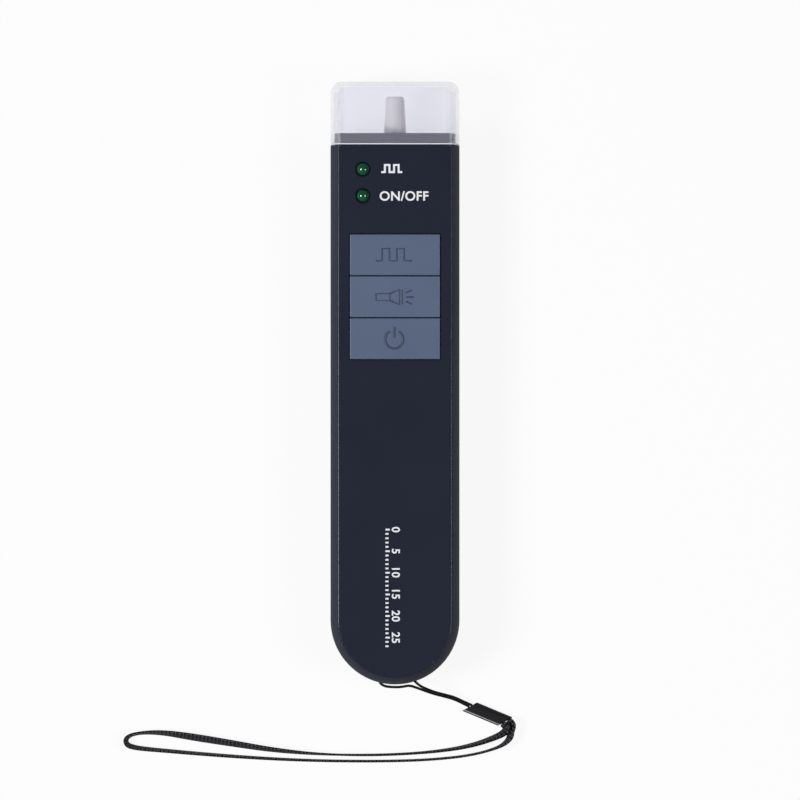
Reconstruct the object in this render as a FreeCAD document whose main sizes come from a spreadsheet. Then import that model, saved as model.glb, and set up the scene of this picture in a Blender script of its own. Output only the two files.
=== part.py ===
import FreeCAD, Part
import math
import os
import types

import Sketcher
from FreeCAD import Vector

# A pocket light source for tracing fibre: two moulded shells, a pull-off cap over the port,
# three keys, two cells behind a door, and a wrist strap on a bar in the tail.
# The device lies on its back: +Z comes out of the front face, +Y points at the cap, +X is right.

SIZES = {
    "body_width": 30.0, "thickness": 18.0, "parting_height": 9.0,
    "body_length": 125.2, "cap_length": 14.7,
    "front_side_radius": 24.0, "back_side_radius": 14.2,
    "face_edge_round": 0.5, "back_edge_round": 1.0, "wall": 1.8,
    "neck_inset": 0.95, "neck_length": 2.8, "neck_wall": 1.3, "neck_end_wall": 1.6,
    "lip_height": 1.2, "lip_width": 0.8, "lip_clearance": 0.1,
    "cap_clearance": 0.1, "cap_end_wall": 1.2, "cap_corner_round": 2.6, "cap_edge_round": 1.6,
    "cap_inner_step": 1.2, "cap_seat_gap": 0.05,
    "window_drop": 20.45, "window_margin": 4.35, "window_length": 29.35, "window_corner": 0.3,
    "key_gap": 0.2, "key_proud": 0.4, "key_height": 3.1, "key_wall": 1.1, "key_corner": 0.2,
    "key_edge_round": 0.25, "lamp_hole_bevel": 0.35,
    "flange_reach": 0.9, "flange_height": 0.8, "flange_gap": 0.1, "post_width": 3.2,
    "switch_width": 6.0, "switch_case_height": 3.5, "plunger_width": 3.4, "plunger_rise": 0.8,
    "plunger_clearance": 0.1, "plunger_depth": 0.9, "key_travel": 0.4,
    "board_thickness": 1.2, "board_gap": 1.2, "board_length": 56.5, "board_drop": 2.2,
    "board_slot_clearance": 0.35, "board_notch_depth": 3.6, "notch_clearance": 0.3,
    "lamp_width": 3.0, "lamp_hole_clearance": 0.15, "lamp_margin": 7.6, "lamp_drop": 5.56,
    "lamp_pitch": 6.13, "lamp_proud": 0.9, "lamp_height": 5.3, "lamp_flange": 0.4,
    "flange_thickness": 1.0, "lead_width": 0.5, "lead_pitch": 2.54,
    "barrel_width": 7.0, "barrel_length": 20.0, "barrel_clearance": 0.05,
    "guard_width": 5.1, "guard_tip_width": 4.3, "guard_collar": 1.0, "guard_reach": 8.65,
    "guard_flange": 0.8, "guard_clearance": 0.05, "guard_lip": 0.5, "guard_bevel": 0.4,
    "ferrule_width": 2.5, "sleeve_width": 3.2,
    "aperture_width": 1.5, "aperture_depth": 1.0, "waist_step": 0.2,
    "torch_margin": 6.4, "torch_width": 5.0, "torch_flange": 0.4, "torch_length": 7.4,
    "torch_clearance": 0.1, "torch_recess": 0.1,
    "cell_gap": 0.5, "cell_clearance": 0.4, "cell_bevel": 0.4,
    "cell_nub_width": 3.8, "cell_nub_length": 1.0, "contact_thickness": 0.4,
    "spring_length": 4.2, "spring_wire": 0.6, "tab_width": 2.0, "slot_clearance": 0.2,
    "bay_drop": 62.2, "bay_tail_reach": 1.5, "bay_margin": 4.05, "bay_roof": 1.2,
    "bay_wall": 1.2, "divider": 1.8,
    "door_wall": 1.5, "door_height": 4.0, "door_lap": 1.0, "door_gap": 0.2,
    "door_rim": 2.6, "door_seat_gap": 0.1, "hook_length": 1.2, "hook_height": 0.9,
    "hook_width": 4.0, "hook_foot": 0.9, "grip_drop": 3.0, "grip_pitch": 2.0, "grip_width": 0.8,
    "grip_length": 12.0, "grip_depth": 0.3,
    "screw_margin": 6.6, "screw_drop": 16.65, "tail_screw_margin": 9.4, "tail_screw_drop": 6.1,
    "screw_width": 2.0, "screw_length": 8.0, "screw_head_width": 3.8, "screw_head_height": 1.6,
    "screw_clearance": 0.1, "boss_width": 5.0, "boss_sleeve": 0.3, "boss_foot": 7.6,
    "head_seat": 3.0, "cross_length": 0.6, "cross_width": 0.15,
    "board_screw_margin": 6.0, "board_screw_rise": 4.2, "board_screw_width": 1.6,
    "board_screw_length": 5.2, "board_screw_head": 3.2, "board_screw_head_height": 1.2,
    "board_post_width": 4.2, "rib_thickness": 1.2, "rib_clearance": 0.5, "rib_pitch": 10.0,
    "rib_offset": 5.0, "tail_bay_margin": 3.7, "bar_width": 4.4, "bar_depth": 1.4,
    "tunnel_depth": 1.3, "tunnel_height": 2.2, "tunnel_rise": 7.2, "mouth_width": 3.2,
    "chip_width": 4.0, "chip_length": 5.0, "chip_height": 1.5, "chip_rise": 18.0,
    "chip_leg_width": 0.4, "chip_leg_reach": 1.0,
    "cord_width": 0.6, "ribbon_width": 3.0, "ribbon_thickness": 0.65,
    "clasp_length": 8.6, "clasp_width": 3.0, "clasp_height": 2.2, "clasp_turn": 22.6,
    "clasp_slant": 2.4,
}

COUNTS = {"spring_turns": 4, "spring_wire_sides": 8, "chip_legs": 4, "grip_grooves": 4}
OUTSIDE = 1.0  # how far a cut runs past the surface that it opens
LEVEL = 1e-6  # how far an edge may lie off a height and still count as lying at it

# Routes chosen by hand: the thin cord runs from the clasp through the tail bar and back,
# the ribbon from the clasp round its far end and back, standing on its edge.
CLASP_MIDDLE = (21.5, -77.2)
CORD_ROUTE = [
    (18.0, -75.07, 1.1), (16.0, -74.2, 1.35), (13.9, -73.15, 2.2), (11.6, -72.5, 3.6),
    (9.2, -71.85, 5.2), (7.3, -71.05, 6.5), (5.7, -70.3, 7.1), (4.1, -68.75, 7.2),
    (2.6, -67.95, 7.2), (0.0, -67.9, 7.2), (-2.6, -67.95, 7.2), (-4.0, -68.9, 7.2),
    (-2.9, -70.35, 7.2), (-0.6, -70.65, 7.2), (1.6, -70.6, 7.2), (3.4, -70.2, 7.1),
    (5.2, -70.85, 6.75), (7.2, -71.6, 5.9), (9.1, -72.3, 4.6), (11.5, -72.95, 3.0),
    (13.7, -73.6, 1.6), (15.7, -74.55, 0.75), (17.35, -75.4, 0.95),
]
RIBBON_ROUTE = [
    (24.95, -79.35), (26.05, -79.95), (26.05, -80.95), (24.8, -81.9), (22.4, -82.95),
    (18.6, -84.25), (13.2, -85.4), (5.0, -86.3), (-6.0, -86.75), (-18.0, -86.5),
    (-28.5, -85.5), (-38.0, -83.95), (-47.0, -82.5), (-54.5, -81.35), (-60.3, -81.5),
    (-62.9, -82.6), (-62.7, -84.4), (-60.0, -85.1), (-54.5, -85.6), (-46.0, -86.35),
    (-35.0, -87.2), (-21.0, -87.95), (-6.0, -88.15), (5.0, -87.95), (13.5, -87.3),
    (18.6, -86.5), (22.0, -85.6), (24.5, -84.7), (26.1, -83.6), (26.95, -82.4),
    (26.95, -81.2), (27.3, -80.1), (27.2, -79.2), (26.45, -78.5),
]

doc = FreeCAD.newDocument("fault_locator")
sheet = doc.addObject("Spreadsheet::Sheet", "Sizes")


class Length:
    """A number that remembers the formula of sheet cells that it comes from."""

    def __init__(self, value, formula):
        self.value = value
        self.formula = formula

    def combined(self, sign, other, value):
        other = as_length(other)
        return Length(value, "(%s %s %s)" % (self.formula, sign, other.formula))

    def __add__(self, other):
        return self.combined("+", other, self.value + as_length(other).value)

    def __sub__(self, other):
        return self.combined("-", other, self.value - as_length(other).value)

    def __mul__(self, other):
        return self.combined("*", other, self.value * as_length(other).value)

    def __truediv__(self, other):
        return self.combined("/", other, self.value / as_length(other).value)

    def __neg__(self):
        return Length(-self.value, "(0 - %s)" % self.formula)


def as_length(number):
    """Turn a plain number into a Length, so that both can stand in a formula."""
    if isinstance(number, Length):
        return number
    return Length(float(number), "(0 - %r)" % -number if number < 0 else "%r" % number)


def root(length):
    """Square root of a Length."""
    return Length(math.sqrt(length.value), "sqrt(%s)" % length.formula)


def fill_sheet():
    """Write each driving size into the sheet and return them as Lengths by name."""
    lengths = {}
    for row, (name, number) in enumerate(SIZES.items(), start=1):
        cell = "A%d" % row
        sheet.set(cell, str(number))
        sheet.setAlias(cell, name)
        lengths[name] = Length(number, "Sizes." + name)
    doc.recompute()
    return types.SimpleNamespace(**lengths)


dim = fill_sheet()
ZERO = as_length(0)

# Places along the length, from the shoulder where the cap meets the body.
half_width = dim.body_width / 2
shoulder_y = (dim.body_length - dim.cap_length) / 2
tail_centre_y = shoulder_y - dim.body_length + half_width
cap_top_y = shoulder_y + dim.cap_length
neck_end_y = shoulder_y + dim.neck_length
neck_floor_y = neck_end_y - dim.neck_end_wall
shell_end_y = shoulder_y - dim.wall
window_top_y = shoulder_y - dim.window_drop
board_head_y = shoulder_y - dim.board_drop
board_tail_y = board_head_y - dim.board_length
guard_tip_y = neck_end_y + dim.guard_reach
guard_lip_y = guard_tip_y - dim.guard_lip
barrel_head_y = neck_floor_y - dim.guard_flange
barrel_tail_y = barrel_head_y - dim.barrel_length
bay_head_y = shoulder_y - dim.bay_drop
bay_tail_y = tail_centre_y - dim.bay_tail_reach
screw_y = shoulder_y - dim.screw_drop
tail_screw_y = tail_centre_y - dim.tail_screw_drop
board_screw_y = board_tail_y + dim.board_screw_rise
screw_tip = dim.head_seat + dim.screw_length
door_head_y = bay_head_y + dim.door_lap
door_tail_y = bay_tail_y - dim.door_lap
barrel_mid_y = barrel_head_y - dim.barrel_length / 2 + dim.rib_offset / 2

# Heights above the back.
axis_height = dim.parting_height
face_inner = dim.thickness - dim.wall
key_top = dim.thickness + dim.key_proud
key_foot = key_top - dim.key_height
board_top = key_foot - dim.plunger_rise - dim.switch_case_height
board_foot = board_top - dim.board_thickness
board_screw_tip = board_foot + dim.board_screw_length
flange_top = face_inner - dim.flange_gap

# Places across the width, from the sides of the body; the two cells fill the bay.
bay_half_width = half_width - dim.bay_margin
cell_width = bay_half_width - dim.slot_clearance - dim.cell_gap / 2
cell_length = bay_head_y - bay_tail_y - dim.spring_length - dim.contact_thickness * 2
cell_x = cell_width / 2 + dim.cell_gap / 2
cell_height = dim.door_wall + dim.cell_clearance + cell_width / 2
contact_half = cell_width / 2 - dim.bay_wall
bay_ceiling = cell_height + cell_width / 2 + dim.slot_clearance
bay_top = bay_ceiling + dim.bay_roof
board_half_width = half_width - dim.wall - dim.board_gap
window_half_width = half_width - dim.window_margin
screw_x = half_width - dim.screw_margin
tail_screw_x = half_width - dim.tail_screw_margin
board_screw_x = half_width - dim.board_screw_margin
tail_bay_radius = half_width - dim.tail_bay_margin
lamp_x = half_width - dim.lamp_margin
lamp_flange_radius = dim.lamp_width / 2 + dim.lamp_flange
rib_half_width = lamp_x - lamp_flange_radius - dim.rib_clearance
torch_x = half_width - dim.torch_margin
torch_flange_radius = dim.torch_width / 2 + dim.torch_flange

key_width = (window_half_width - dim.key_gap) * 2
key_length = (dim.window_length - dim.key_gap * 4) / 3
key_pitch = key_length + dim.key_gap

SUB_PARTS = []
PAD_REVERSED = {"XY": False, "XZ": True, "YZ": False}


def keep(sub_part, name):
    """Name a finished sub-part, so that it is checked and written."""
    sub_part.Label = name
    SUB_PARTS.append(sub_part)
    return sub_part


def new_body(name):
    """An empty PartDesign body."""
    return doc.addObject("PartDesign::Body", name)


def new_sketch(body, plane, offset=ZERO):
    """A sketch parallel to one of the body's origin planes, at a place along its axis."""
    sketch = body.newObject("Sketcher::SketchObject", body.Name + "_sketch")
    planes = {feature.Role: feature for feature in body.Origin.OriginFeatures}
    sketch.AttachmentSupport = [(planes[plane + "_Plane"], "")]
    sketch.MapMode = "FlatFace"
    along = -offset if plane == "XZ" else offset
    sketch.setExpression("AttachmentOffset.Base.z", along.formula)
    return sketch


def bind_constraints(sketch, constraints, lengths):
    """Add constraints in one go and tie each to its formula."""
    numbers = sketch.addConstraint(constraints)
    for number, length in zip(numbers, lengths):
        if length is not None:
            sketch.setExpression("Constraints[%d]" % number, length.formula)


def arc_between(start, end, centre, radius):
    """The short arc from start to end, and which of its ends is which."""
    first = math.atan2(start.y - centre.y, start.x - centre.x)
    last = math.atan2(end.y - centre.y, end.x - centre.x)
    clockwise = (start - centre).cross(end - centre).z < 0
    if clockwise:
        first, last = last, first
    if last < first:
        last += 2 * math.pi
    circle = Part.Circle(centre, Vector(0, 0, 1), radius)
    return Part.ArcOfCircle(circle, first, last), (2, 1) if clockwise else (1, 2)


def draw_outline(sketch, corners, arcs=None):
    """A closed outline: the corners in order, and per side None or an arc's centre and radius."""
    corners = [(as_length(x), as_length(y)) for x, y in corners]
    arcs = arcs or [None] * len(corners)
    base = sketch.GeometryCount
    points = [Vector(x.value, y.value, 0) for x, y in corners]
    shapes, ends = [], []
    for index, arc in enumerate(arcs):
        start, end = points[index], points[(index + 1) % len(points)]
        if arc is None:
            shapes.append(Part.LineSegment(start, end))
            ends.append((1, 2))
        else:
            centre = Vector(arc[0].value, arc[1].value, 0)
            shape, order = arc_between(start, end, centre, arc[2].value)
            shapes.append(shape)
            ends.append(order)
    sketch.addGeometry(shapes, False)
    constraints, lengths = [], []
    for index, (x, y) in enumerate(corners):
        following = (index + 1) % len(corners)
        here, there = base + index, base + following
        constraints.append(Sketcher.Constraint("Coincident", here, ends[index][1],
                                               there, ends[following][0]))
        lengths.append(None)
        for kind, place in (("DistanceX", x), ("DistanceY", y)):
            constraints.append(Sketcher.Constraint(kind, -1, 1, here, ends[index][0], place.value))
            lengths.append(place)
        if arcs[index] is not None:
            constraints.append(Sketcher.Constraint("Radius", here, arcs[index][2].value))
            lengths.append(arcs[index][2])
    bind_constraints(sketch, constraints, lengths)


def draw_circle(sketch, x, y, width):
    """A circle by its centre and width."""
    x, y = as_length(x), as_length(y)
    circle = Part.Circle(Vector(x.value, y.value, 0), Vector(0, 0, 1), width.value / 2)
    number = sketch.addGeometry(circle, False)
    constraints = [Sketcher.Constraint("DistanceX", -1, 1, number, 3, x.value),
                   Sketcher.Constraint("DistanceY", -1, 1, number, 3, y.value),
                   Sketcher.Constraint("Diameter", number, width.value)]
    bind_constraints(sketch, constraints, [x, y, width])


def draw_box(sketch, left, low, right, high):
    """A rectangle by its edges."""
    draw_outline(sketch, [(left, low), (right, low), (right, high), (left, high)])


def draw_round_box(sketch, left, low, right, high, corner):
    """A rectangle with rounded corners."""
    left, low, right, high = [as_length(edge) for edge in (left, low, right, high)]
    west, east = left + corner, right - corner
    south, north = low + corner, high - corner
    corners = [(west, low), (east, low), (right, south), (right, north),
               (east, high), (west, high), (left, north), (left, south)]
    arcs = [None, (east, south, corner), None, (east, north, corner),
            None, (west, north, corner), None, (west, south, corner)]
    draw_outline(sketch, corners, arcs)


def extrude(body, kind, plane, low, high, draw):
    """A Pad or Pocket between two places along the plane's axis."""
    sketch = new_sketch(body, plane, low)
    draw(sketch)
    feature = body.newObject("PartDesign::" + kind, body.Name + "_" + kind.lower())
    feature.Profile = (sketch, [""])
    reverse_pad = PAD_REVERSED[plane]
    feature.Reversed = reverse_pad if kind == "Pad" else not reverse_pad
    feature.setExpression("Length", (high - low).formula)
    return feature


def turn(body, kind, plane, offset, draw, angle=360.0, reversed_turn=False):
    """A Revolution or Groove about the sketch's upright axis."""
    sketch = new_sketch(body, plane, offset)
    draw(sketch)
    feature = body.newObject("PartDesign::" + kind, body.Name + "_" + kind.lower())
    feature.Profile = (sketch, [""])
    feature.ReferenceAxis = (sketch, ["V_Axis"])
    feature.Angle = angle
    feature.Reversed = reversed_turn
    return feature


def finish_edges(body, kind, size_name, wanted):
    """A Fillet or Chamfer on every edge of the body so far that the test accepts."""
    doc.recompute()
    tip = body.Tip
    names = ["Edge%d" % number for number, edge in enumerate(tip.Shape.Edges, start=1)
             if wanted(edge)]
    feature = body.newObject("PartDesign::" + kind, body.Name + "_" + kind.lower())
    feature.Base = (tip, names)
    feature.setExpression("Radius" if kind == "Fillet" else "Size", "Sizes." + size_name)
    return feature


def lies_at(edge, height):
    """Whether an edge lies flat at a height."""
    box = edge.BoundBox
    return abs(box.ZMin - height.value) < LEVEL and abs(box.ZMax - height.value) < LEVEL


def place(sub_part, x=ZERO, y=ZERO, z=ZERO):
    """Tie a sub-part's place to the sheet."""
    for axis, length in (("x", x), ("y", y), ("z", z)):
        sub_part.setExpression("Placement.Base." + axis, as_length(length).formula)
    return sub_part


def side_arc(height, inset):
    """Centre, radius and side x of the moulded section at a height, moved in by an inset."""
    upper = height.value >= dim.parting_height.value
    outer = dim.front_side_radius if upper else dim.back_side_radius
    centre_x = half_width - outer
    radius = outer - inset
    rise = height - dim.parting_height
    return centre_x, radius, centre_x + root(radius * radius - rise * rise)


def upper_side(inset, rounding=None):
    """Right-hand side of the section from the parting up to the face, as corners and arcs."""
    top = dim.thickness - inset
    centre_x, radius, corner_x = side_arc(top, inset)
    side = (centre_x, dim.parting_height, radius)
    foot = (half_width - inset, dim.parting_height)
    if rounding is None:
        return [foot, (corner_x, top)], [side]
    rise = top - rounding - dim.parting_height
    inner = radius - rounding
    round_x = centre_x + root(inner * inner - rise * rise)
    meet_x = centre_x + (round_x - centre_x) * radius / inner
    meet_z = dim.parting_height + rise * radius / inner
    return [foot, (meet_x, meet_z), (round_x, top)], [side, (round_x, top - rounding, rounding)]


def lower_side(inset, rounding=None):
    """Right-hand side of the section from the back up to the parting, as corners and arcs."""
    bottom = as_length(inset)
    centre_x = half_width - dim.back_side_radius
    radius = dim.back_side_radius - inset
    side = (centre_x, dim.parting_height, radius)
    head = (half_width - inset, dim.parting_height)
    fall = dim.parting_height - bottom
    if rounding is None:
        return [(centre_x + root(radius * radius - fall * fall), bottom), head], [side]
    fall = fall - rounding
    inner = radius - rounding
    round_x = centre_x + root(inner * inner - fall * fall)
    meet_x = centre_x + (round_x - centre_x) * radius / inner
    meet_z = dim.parting_height - fall * radius / inner
    return [(round_x, bottom), (meet_x, meet_z), head], [(round_x, bottom + rounding, rounding), side]


def whole_side(inset, front_rounding=None, back_rounding=None):
    """Right-hand side of the section from the back up to the face."""
    low_corners, low_arcs = lower_side(inset, back_rounding)
    high_corners, high_arcs = upper_side(inset, front_rounding)
    return low_corners + high_corners[1:], low_arcs + high_arcs


def draw_section(sketch, side):
    """The whole section: the right-hand side and its mirror image."""
    corners, arcs = side
    mirrored = [(-x, z) for x, z in reversed(corners)]
    mirrored_arcs = [(-arc[0], arc[1], arc[2]) for arc in reversed(arcs)]
    draw_outline(sketch, corners + mirrored, arcs + [None] + mirrored_arcs + [None])


def draw_half_section(sketch, side):
    """The right half of the section, closed along the upright axis."""
    corners, arcs = side
    low, high = corners[0][1], corners[-1][1]
    draw_outline(sketch, [(ZERO, low)] + corners + [(ZERO, high)], [None] + arcs + [None, None])


def draw_plan(sketch, inset, head_y):
    """The outline seen from the front: straight sides and a round tail."""
    radius = half_width - inset
    corners = [(radius, head_y), (-radius, head_y), (-radius, tail_centre_y),
               (ZERO, tail_centre_y - radius), (radius, tail_centre_y)]
    arc = (ZERO, tail_centre_y, radius)
    draw_outline(sketch, corners, [None, None, arc, arc, None])


def lathe(name, plane, corners, arcs=None):
    """A turned piece: an outline spun about its own upright axis."""
    body = new_body(name)
    turn(body, "Revolution", plane, ZERO, lambda sketch: draw_outline(sketch, corners, arcs))
    return body


def cut_end_holes(body):
    """Holes in the neck's end wall: the port's guard on the middle line, the torch lamp beside it."""
    def holes(sketch):
        draw_circle(sketch, ZERO, axis_height, dim.guard_width + dim.guard_clearance * 2)
        draw_circle(sketch, torch_x, axis_height, dim.torch_width + dim.torch_clearance * 2)
    extrude(body, "Pocket", "XZ", neck_floor_y, neck_end_y, holes)


def cut_barrel_seat(body):
    """Round seat for the laser barrel through the ribs that cradle it."""
    width = dim.barrel_width + dim.barrel_clearance * 2
    extrude(body, "Pocket", "XZ", barrel_tail_y, barrel_head_y,
            lambda sketch: draw_circle(sketch, ZERO, axis_height, width))


def add_barrel_ribs(body, low, high):
    """Two cross ribs that hold the laser barrel."""
    for side in (-1, 1):
        middle = barrel_mid_y + dim.rib_pitch * side / 2
        extrude(body, "Pad", "XY", low, high, lambda sketch, y=middle: draw_box(
            sketch, -rib_half_width, y - dim.rib_thickness / 2,
            rib_half_width, y + dim.rib_thickness / 2))


def draw_at_screws(sketch, width):
    """Four circles, one at each case screw."""
    for side in (-1, 1):
        draw_circle(sketch, screw_x * side, screw_y, width)
        draw_circle(sketch, tail_screw_x * side, tail_screw_y, width)


def draw_at_board_screws(sketch, width):
    """Two circles, one at each board screw."""
    for side in (-1, 1):
        draw_circle(sketch, board_screw_x * side, board_screw_y, width)


def make_front_shell():
    """Front half of the moulded case, with the key window, lamp holes and screw bosses."""
    body = new_body("front_shell")
    outer = upper_side(ZERO, dim.face_edge_round)
    inner = upper_side(dim.wall)
    extrude(body, "Pad", "XZ", tail_centre_y, shoulder_y, lambda sketch: draw_section(sketch, outer))
    turn(body, "Revolution", "XZ", tail_centre_y,
         lambda sketch: draw_half_section(sketch, outer), 180.0, True)
    extrude(body, "Pad", "XZ", shoulder_y, neck_end_y,
            lambda sketch: draw_section(sketch, upper_side(dim.neck_inset)))
    extrude(body, "Pocket", "XZ", tail_centre_y, shell_end_y,
            lambda sketch: draw_section(sketch, inner))
    turn(body, "Groove", "XZ", tail_centre_y,
         lambda sketch: draw_half_section(sketch, inner), 180.0, True)
    extrude(body, "Pocket", "XZ", shell_end_y, neck_floor_y,
            lambda sketch: draw_section(sketch, upper_side(dim.neck_inset + dim.neck_wall)))
    rebate = dim.wall - dim.lip_width - dim.lip_clearance
    extrude(body, "Pocket", "XY", dim.parting_height,
            dim.parting_height + dim.lip_height + dim.lip_clearance,
            lambda sketch: draw_plan(sketch, rebate, shell_end_y))
    extrude(body, "Pad", "XY", dim.boss_foot, face_inner,
            lambda sketch: draw_at_screws(sketch, dim.boss_width))
    extrude(body, "Pad", "XY", board_top, face_inner,
            lambda sketch: draw_at_board_screws(sketch, dim.board_post_width))
    add_barrel_ribs(body, board_top + dim.slot_clearance, face_inner)
    cut_barrel_seat(body)
    cut_end_holes(body)
    extrude(body, "Pocket", "XY", dim.boss_foot, screw_tip + dim.slot_clearance * 2,
            lambda sketch: draw_at_screws(sketch, dim.screw_width + dim.screw_clearance))
    extrude(body, "Pocket", "XY", board_top, board_screw_tip + dim.slot_clearance,
            lambda sketch: draw_at_board_screws(sketch, dim.board_screw_width + dim.screw_clearance))
    extrude(body, "Pocket", "XY", face_inner, dim.thickness, draw_face_openings)
    finish_edges(body, "Chamfer", "lamp_hole_bevel", lambda edge: (
        lies_at(edge, dim.thickness) and isinstance(edge.Curve, Part.Circle)
        and edge.Curve.Radius > dim.lamp_width.value / 2 and edge.isClosed()))
    return keep(body, "front_shell")


def draw_face_openings(sketch):
    """The key window and the two lamp holes."""
    draw_round_box(sketch, -window_half_width, window_top_y - dim.window_length,
                   window_half_width, window_top_y, dim.window_corner)
    for index in range(2):
        draw_circle(sketch, -lamp_x, lamp_y(index), dim.lamp_width + dim.lamp_hole_clearance * 2)


def lamp_y(index):
    """Place of an indicator lamp, counted from the shoulder."""
    return shoulder_y - dim.lamp_drop - dim.lamp_pitch * index


def draw_tail_bay(sketch):
    """Round space behind the battery bay."""
    chord_y = bay_tail_y - dim.divider
    fall = tail_centre_y - chord_y
    half_chord = root(tail_bay_radius * tail_bay_radius - fall * fall)
    arc = (ZERO, tail_centre_y, tail_bay_radius)
    draw_outline(sketch, [(-half_chord, chord_y), (ZERO, tail_centre_y - tail_bay_radius),
                          (half_chord, chord_y)], [arc, arc, None])


def draw_strap_tunnel(sketch):
    """Two mouths in the tail and the tunnel that joins them behind the strap bar."""
    tail_y = tail_centre_y - half_width
    outside_y = tail_y - OUTSIDE
    bar_y = tail_y + dim.bar_depth
    tunnel_y = bar_y + dim.tunnel_depth
    bar_x = dim.bar_width / 2
    mouth_x = bar_x + dim.mouth_width
    draw_outline(sketch, [(-mouth_x, outside_y), (-bar_x, outside_y), (-bar_x, bar_y),
                          (bar_x, bar_y), (bar_x, outside_y), (mouth_x, outside_y),
                          (mouth_x, tunnel_y), (-mouth_x, tunnel_y)])


def draw_door_recess(sketch):
    """Section of the recess that the battery door closes."""
    outside = half_width + OUTSIDE
    seat = dim.door_height + dim.door_seat_gap
    rim = dim.door_rim + dim.door_seat_gap
    seat_x = side_arc(dim.door_height, dim.door_wall)[2] - dim.door_seat_gap
    rim_x = bay_half_width + dim.bay_wall / 2
    right = [(outside, as_length(-OUTSIDE)), (outside, seat), (seat_x, seat), (rim_x, rim)]
    left = [(-x, z) for x, z in reversed(right)]
    draw_outline(sketch, right + left)


def make_rear_shell():
    """Rear half of the moulded case, with the battery bay, barrel cradle and strap bar."""
    body = new_body("rear_shell")
    outer = lower_side(ZERO, dim.back_edge_round)
    lip_top = dim.parting_height + dim.lip_height
    bay_wall_x = bay_half_width + dim.bay_wall
    extrude(body, "Pad", "XZ", tail_centre_y, shoulder_y, lambda sketch: draw_section(sketch, outer))
    turn(body, "Revolution", "XZ", tail_centre_y,
         lambda sketch: draw_half_section(sketch, outer), 180.0, True)
    extrude(body, "Pad", "XZ", shoulder_y, neck_end_y,
            lambda sketch: draw_section(sketch, lower_side(dim.neck_inset)))
    extrude(body, "Pad", "XY", dim.parting_height, lip_top, lambda sketch: draw_plan(
        sketch, dim.wall - dim.lip_width, shell_end_y - dim.lip_clearance))
    extrude(body, "Pocket", "XY", dim.parting_height, lip_top,
            lambda sketch: draw_plan(sketch, dim.wall, shoulder_y))
    extrude(body, "Pad", "XY", dim.parting_height, bay_top, lambda sketch: draw_box(
        sketch, -bay_wall_x, bay_tail_y - dim.divider, bay_wall_x, bay_head_y + dim.divider))
    extrude(body, "Pocket", "XZ", bay_head_y + dim.divider, shell_end_y,
            lambda sketch: draw_section(sketch, lower_side(dim.wall)))
    extrude(body, "Pocket", "XZ", shell_end_y, neck_floor_y,
            lambda sketch: draw_section(sketch, lower_side(dim.neck_inset + dim.neck_wall)))
    extrude(body, "Pocket", "XY", dim.wall, dim.parting_height, draw_tail_bay)
    extrude(body, "Pad", "XY", dim.wall, dim.boss_foot - dim.lip_clearance,
            lambda sketch: draw_at_screws(sketch, dim.boss_width + dim.boss_sleeve * 2))
    add_barrel_ribs(body, dim.wall, axis_height)
    cut_barrel_seat(body)
    cut_end_holes(body)
    extrude(body, "Pocket", "XY", ZERO, bay_ceiling,
            lambda sketch: draw_box(sketch, -bay_half_width, bay_tail_y, bay_half_width, bay_head_y))
    extrude(body, "Pocket", "XZ", door_tail_y - dim.door_gap, door_head_y + dim.door_gap,
            draw_door_recess)
    cut_hook_slots(body)
    cut_tab_slots(body)
    extrude(body, "Pocket", "XY", ZERO, dim.head_seat,
            lambda sketch: draw_at_screws(sketch, dim.screw_head_width + dim.screw_clearance * 2))
    extrude(body, "Pocket", "XY", dim.head_seat, dim.boss_foot,
            lambda sketch: draw_at_screws(sketch, dim.screw_width + dim.screw_clearance * 2))
    extrude(body, "Pocket", "XY", dim.tunnel_rise - dim.tunnel_height / 2,
            dim.tunnel_rise + dim.tunnel_height / 2, draw_strap_tunnel)
    return keep(body, "rear_shell")


def cut_hook_slots(body):
    """Slots in the tail wall that the door's two hooks swing in."""
    low = dim.hook_foot - dim.slot_clearance
    high = dim.hook_foot + dim.hook_height + dim.hook_length + dim.slot_clearance
    end_y = door_tail_y - dim.door_gap
    half_slot = dim.hook_width / 2 + dim.slot_clearance
    for side in (-1, 1):
        x = cell_x * side
        extrude(body, "Pocket", "XY", low, high, lambda sketch, x=x: draw_box(
            sketch, x - half_slot, door_tail_y - dim.hook_length - dim.slot_clearance,
            x + half_slot, end_y))


def cut_tab_slots(body):
    """Slots in the head wall of the bay, for the solder tabs of the two head contacts."""
    half_slot = dim.tab_width / 2 + dim.slot_clearance
    for side in (-1, 1):
        x = cell_x * side
        extrude(body, "Pocket", "XZ", bay_head_y, bay_head_y + dim.divider,
                lambda sketch, x=x: draw_box(
                    sketch, x - half_slot, board_foot - dim.contact_thickness - dim.slot_clearance,
                    x + half_slot, board_foot + dim.slot_clearance))


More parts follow.
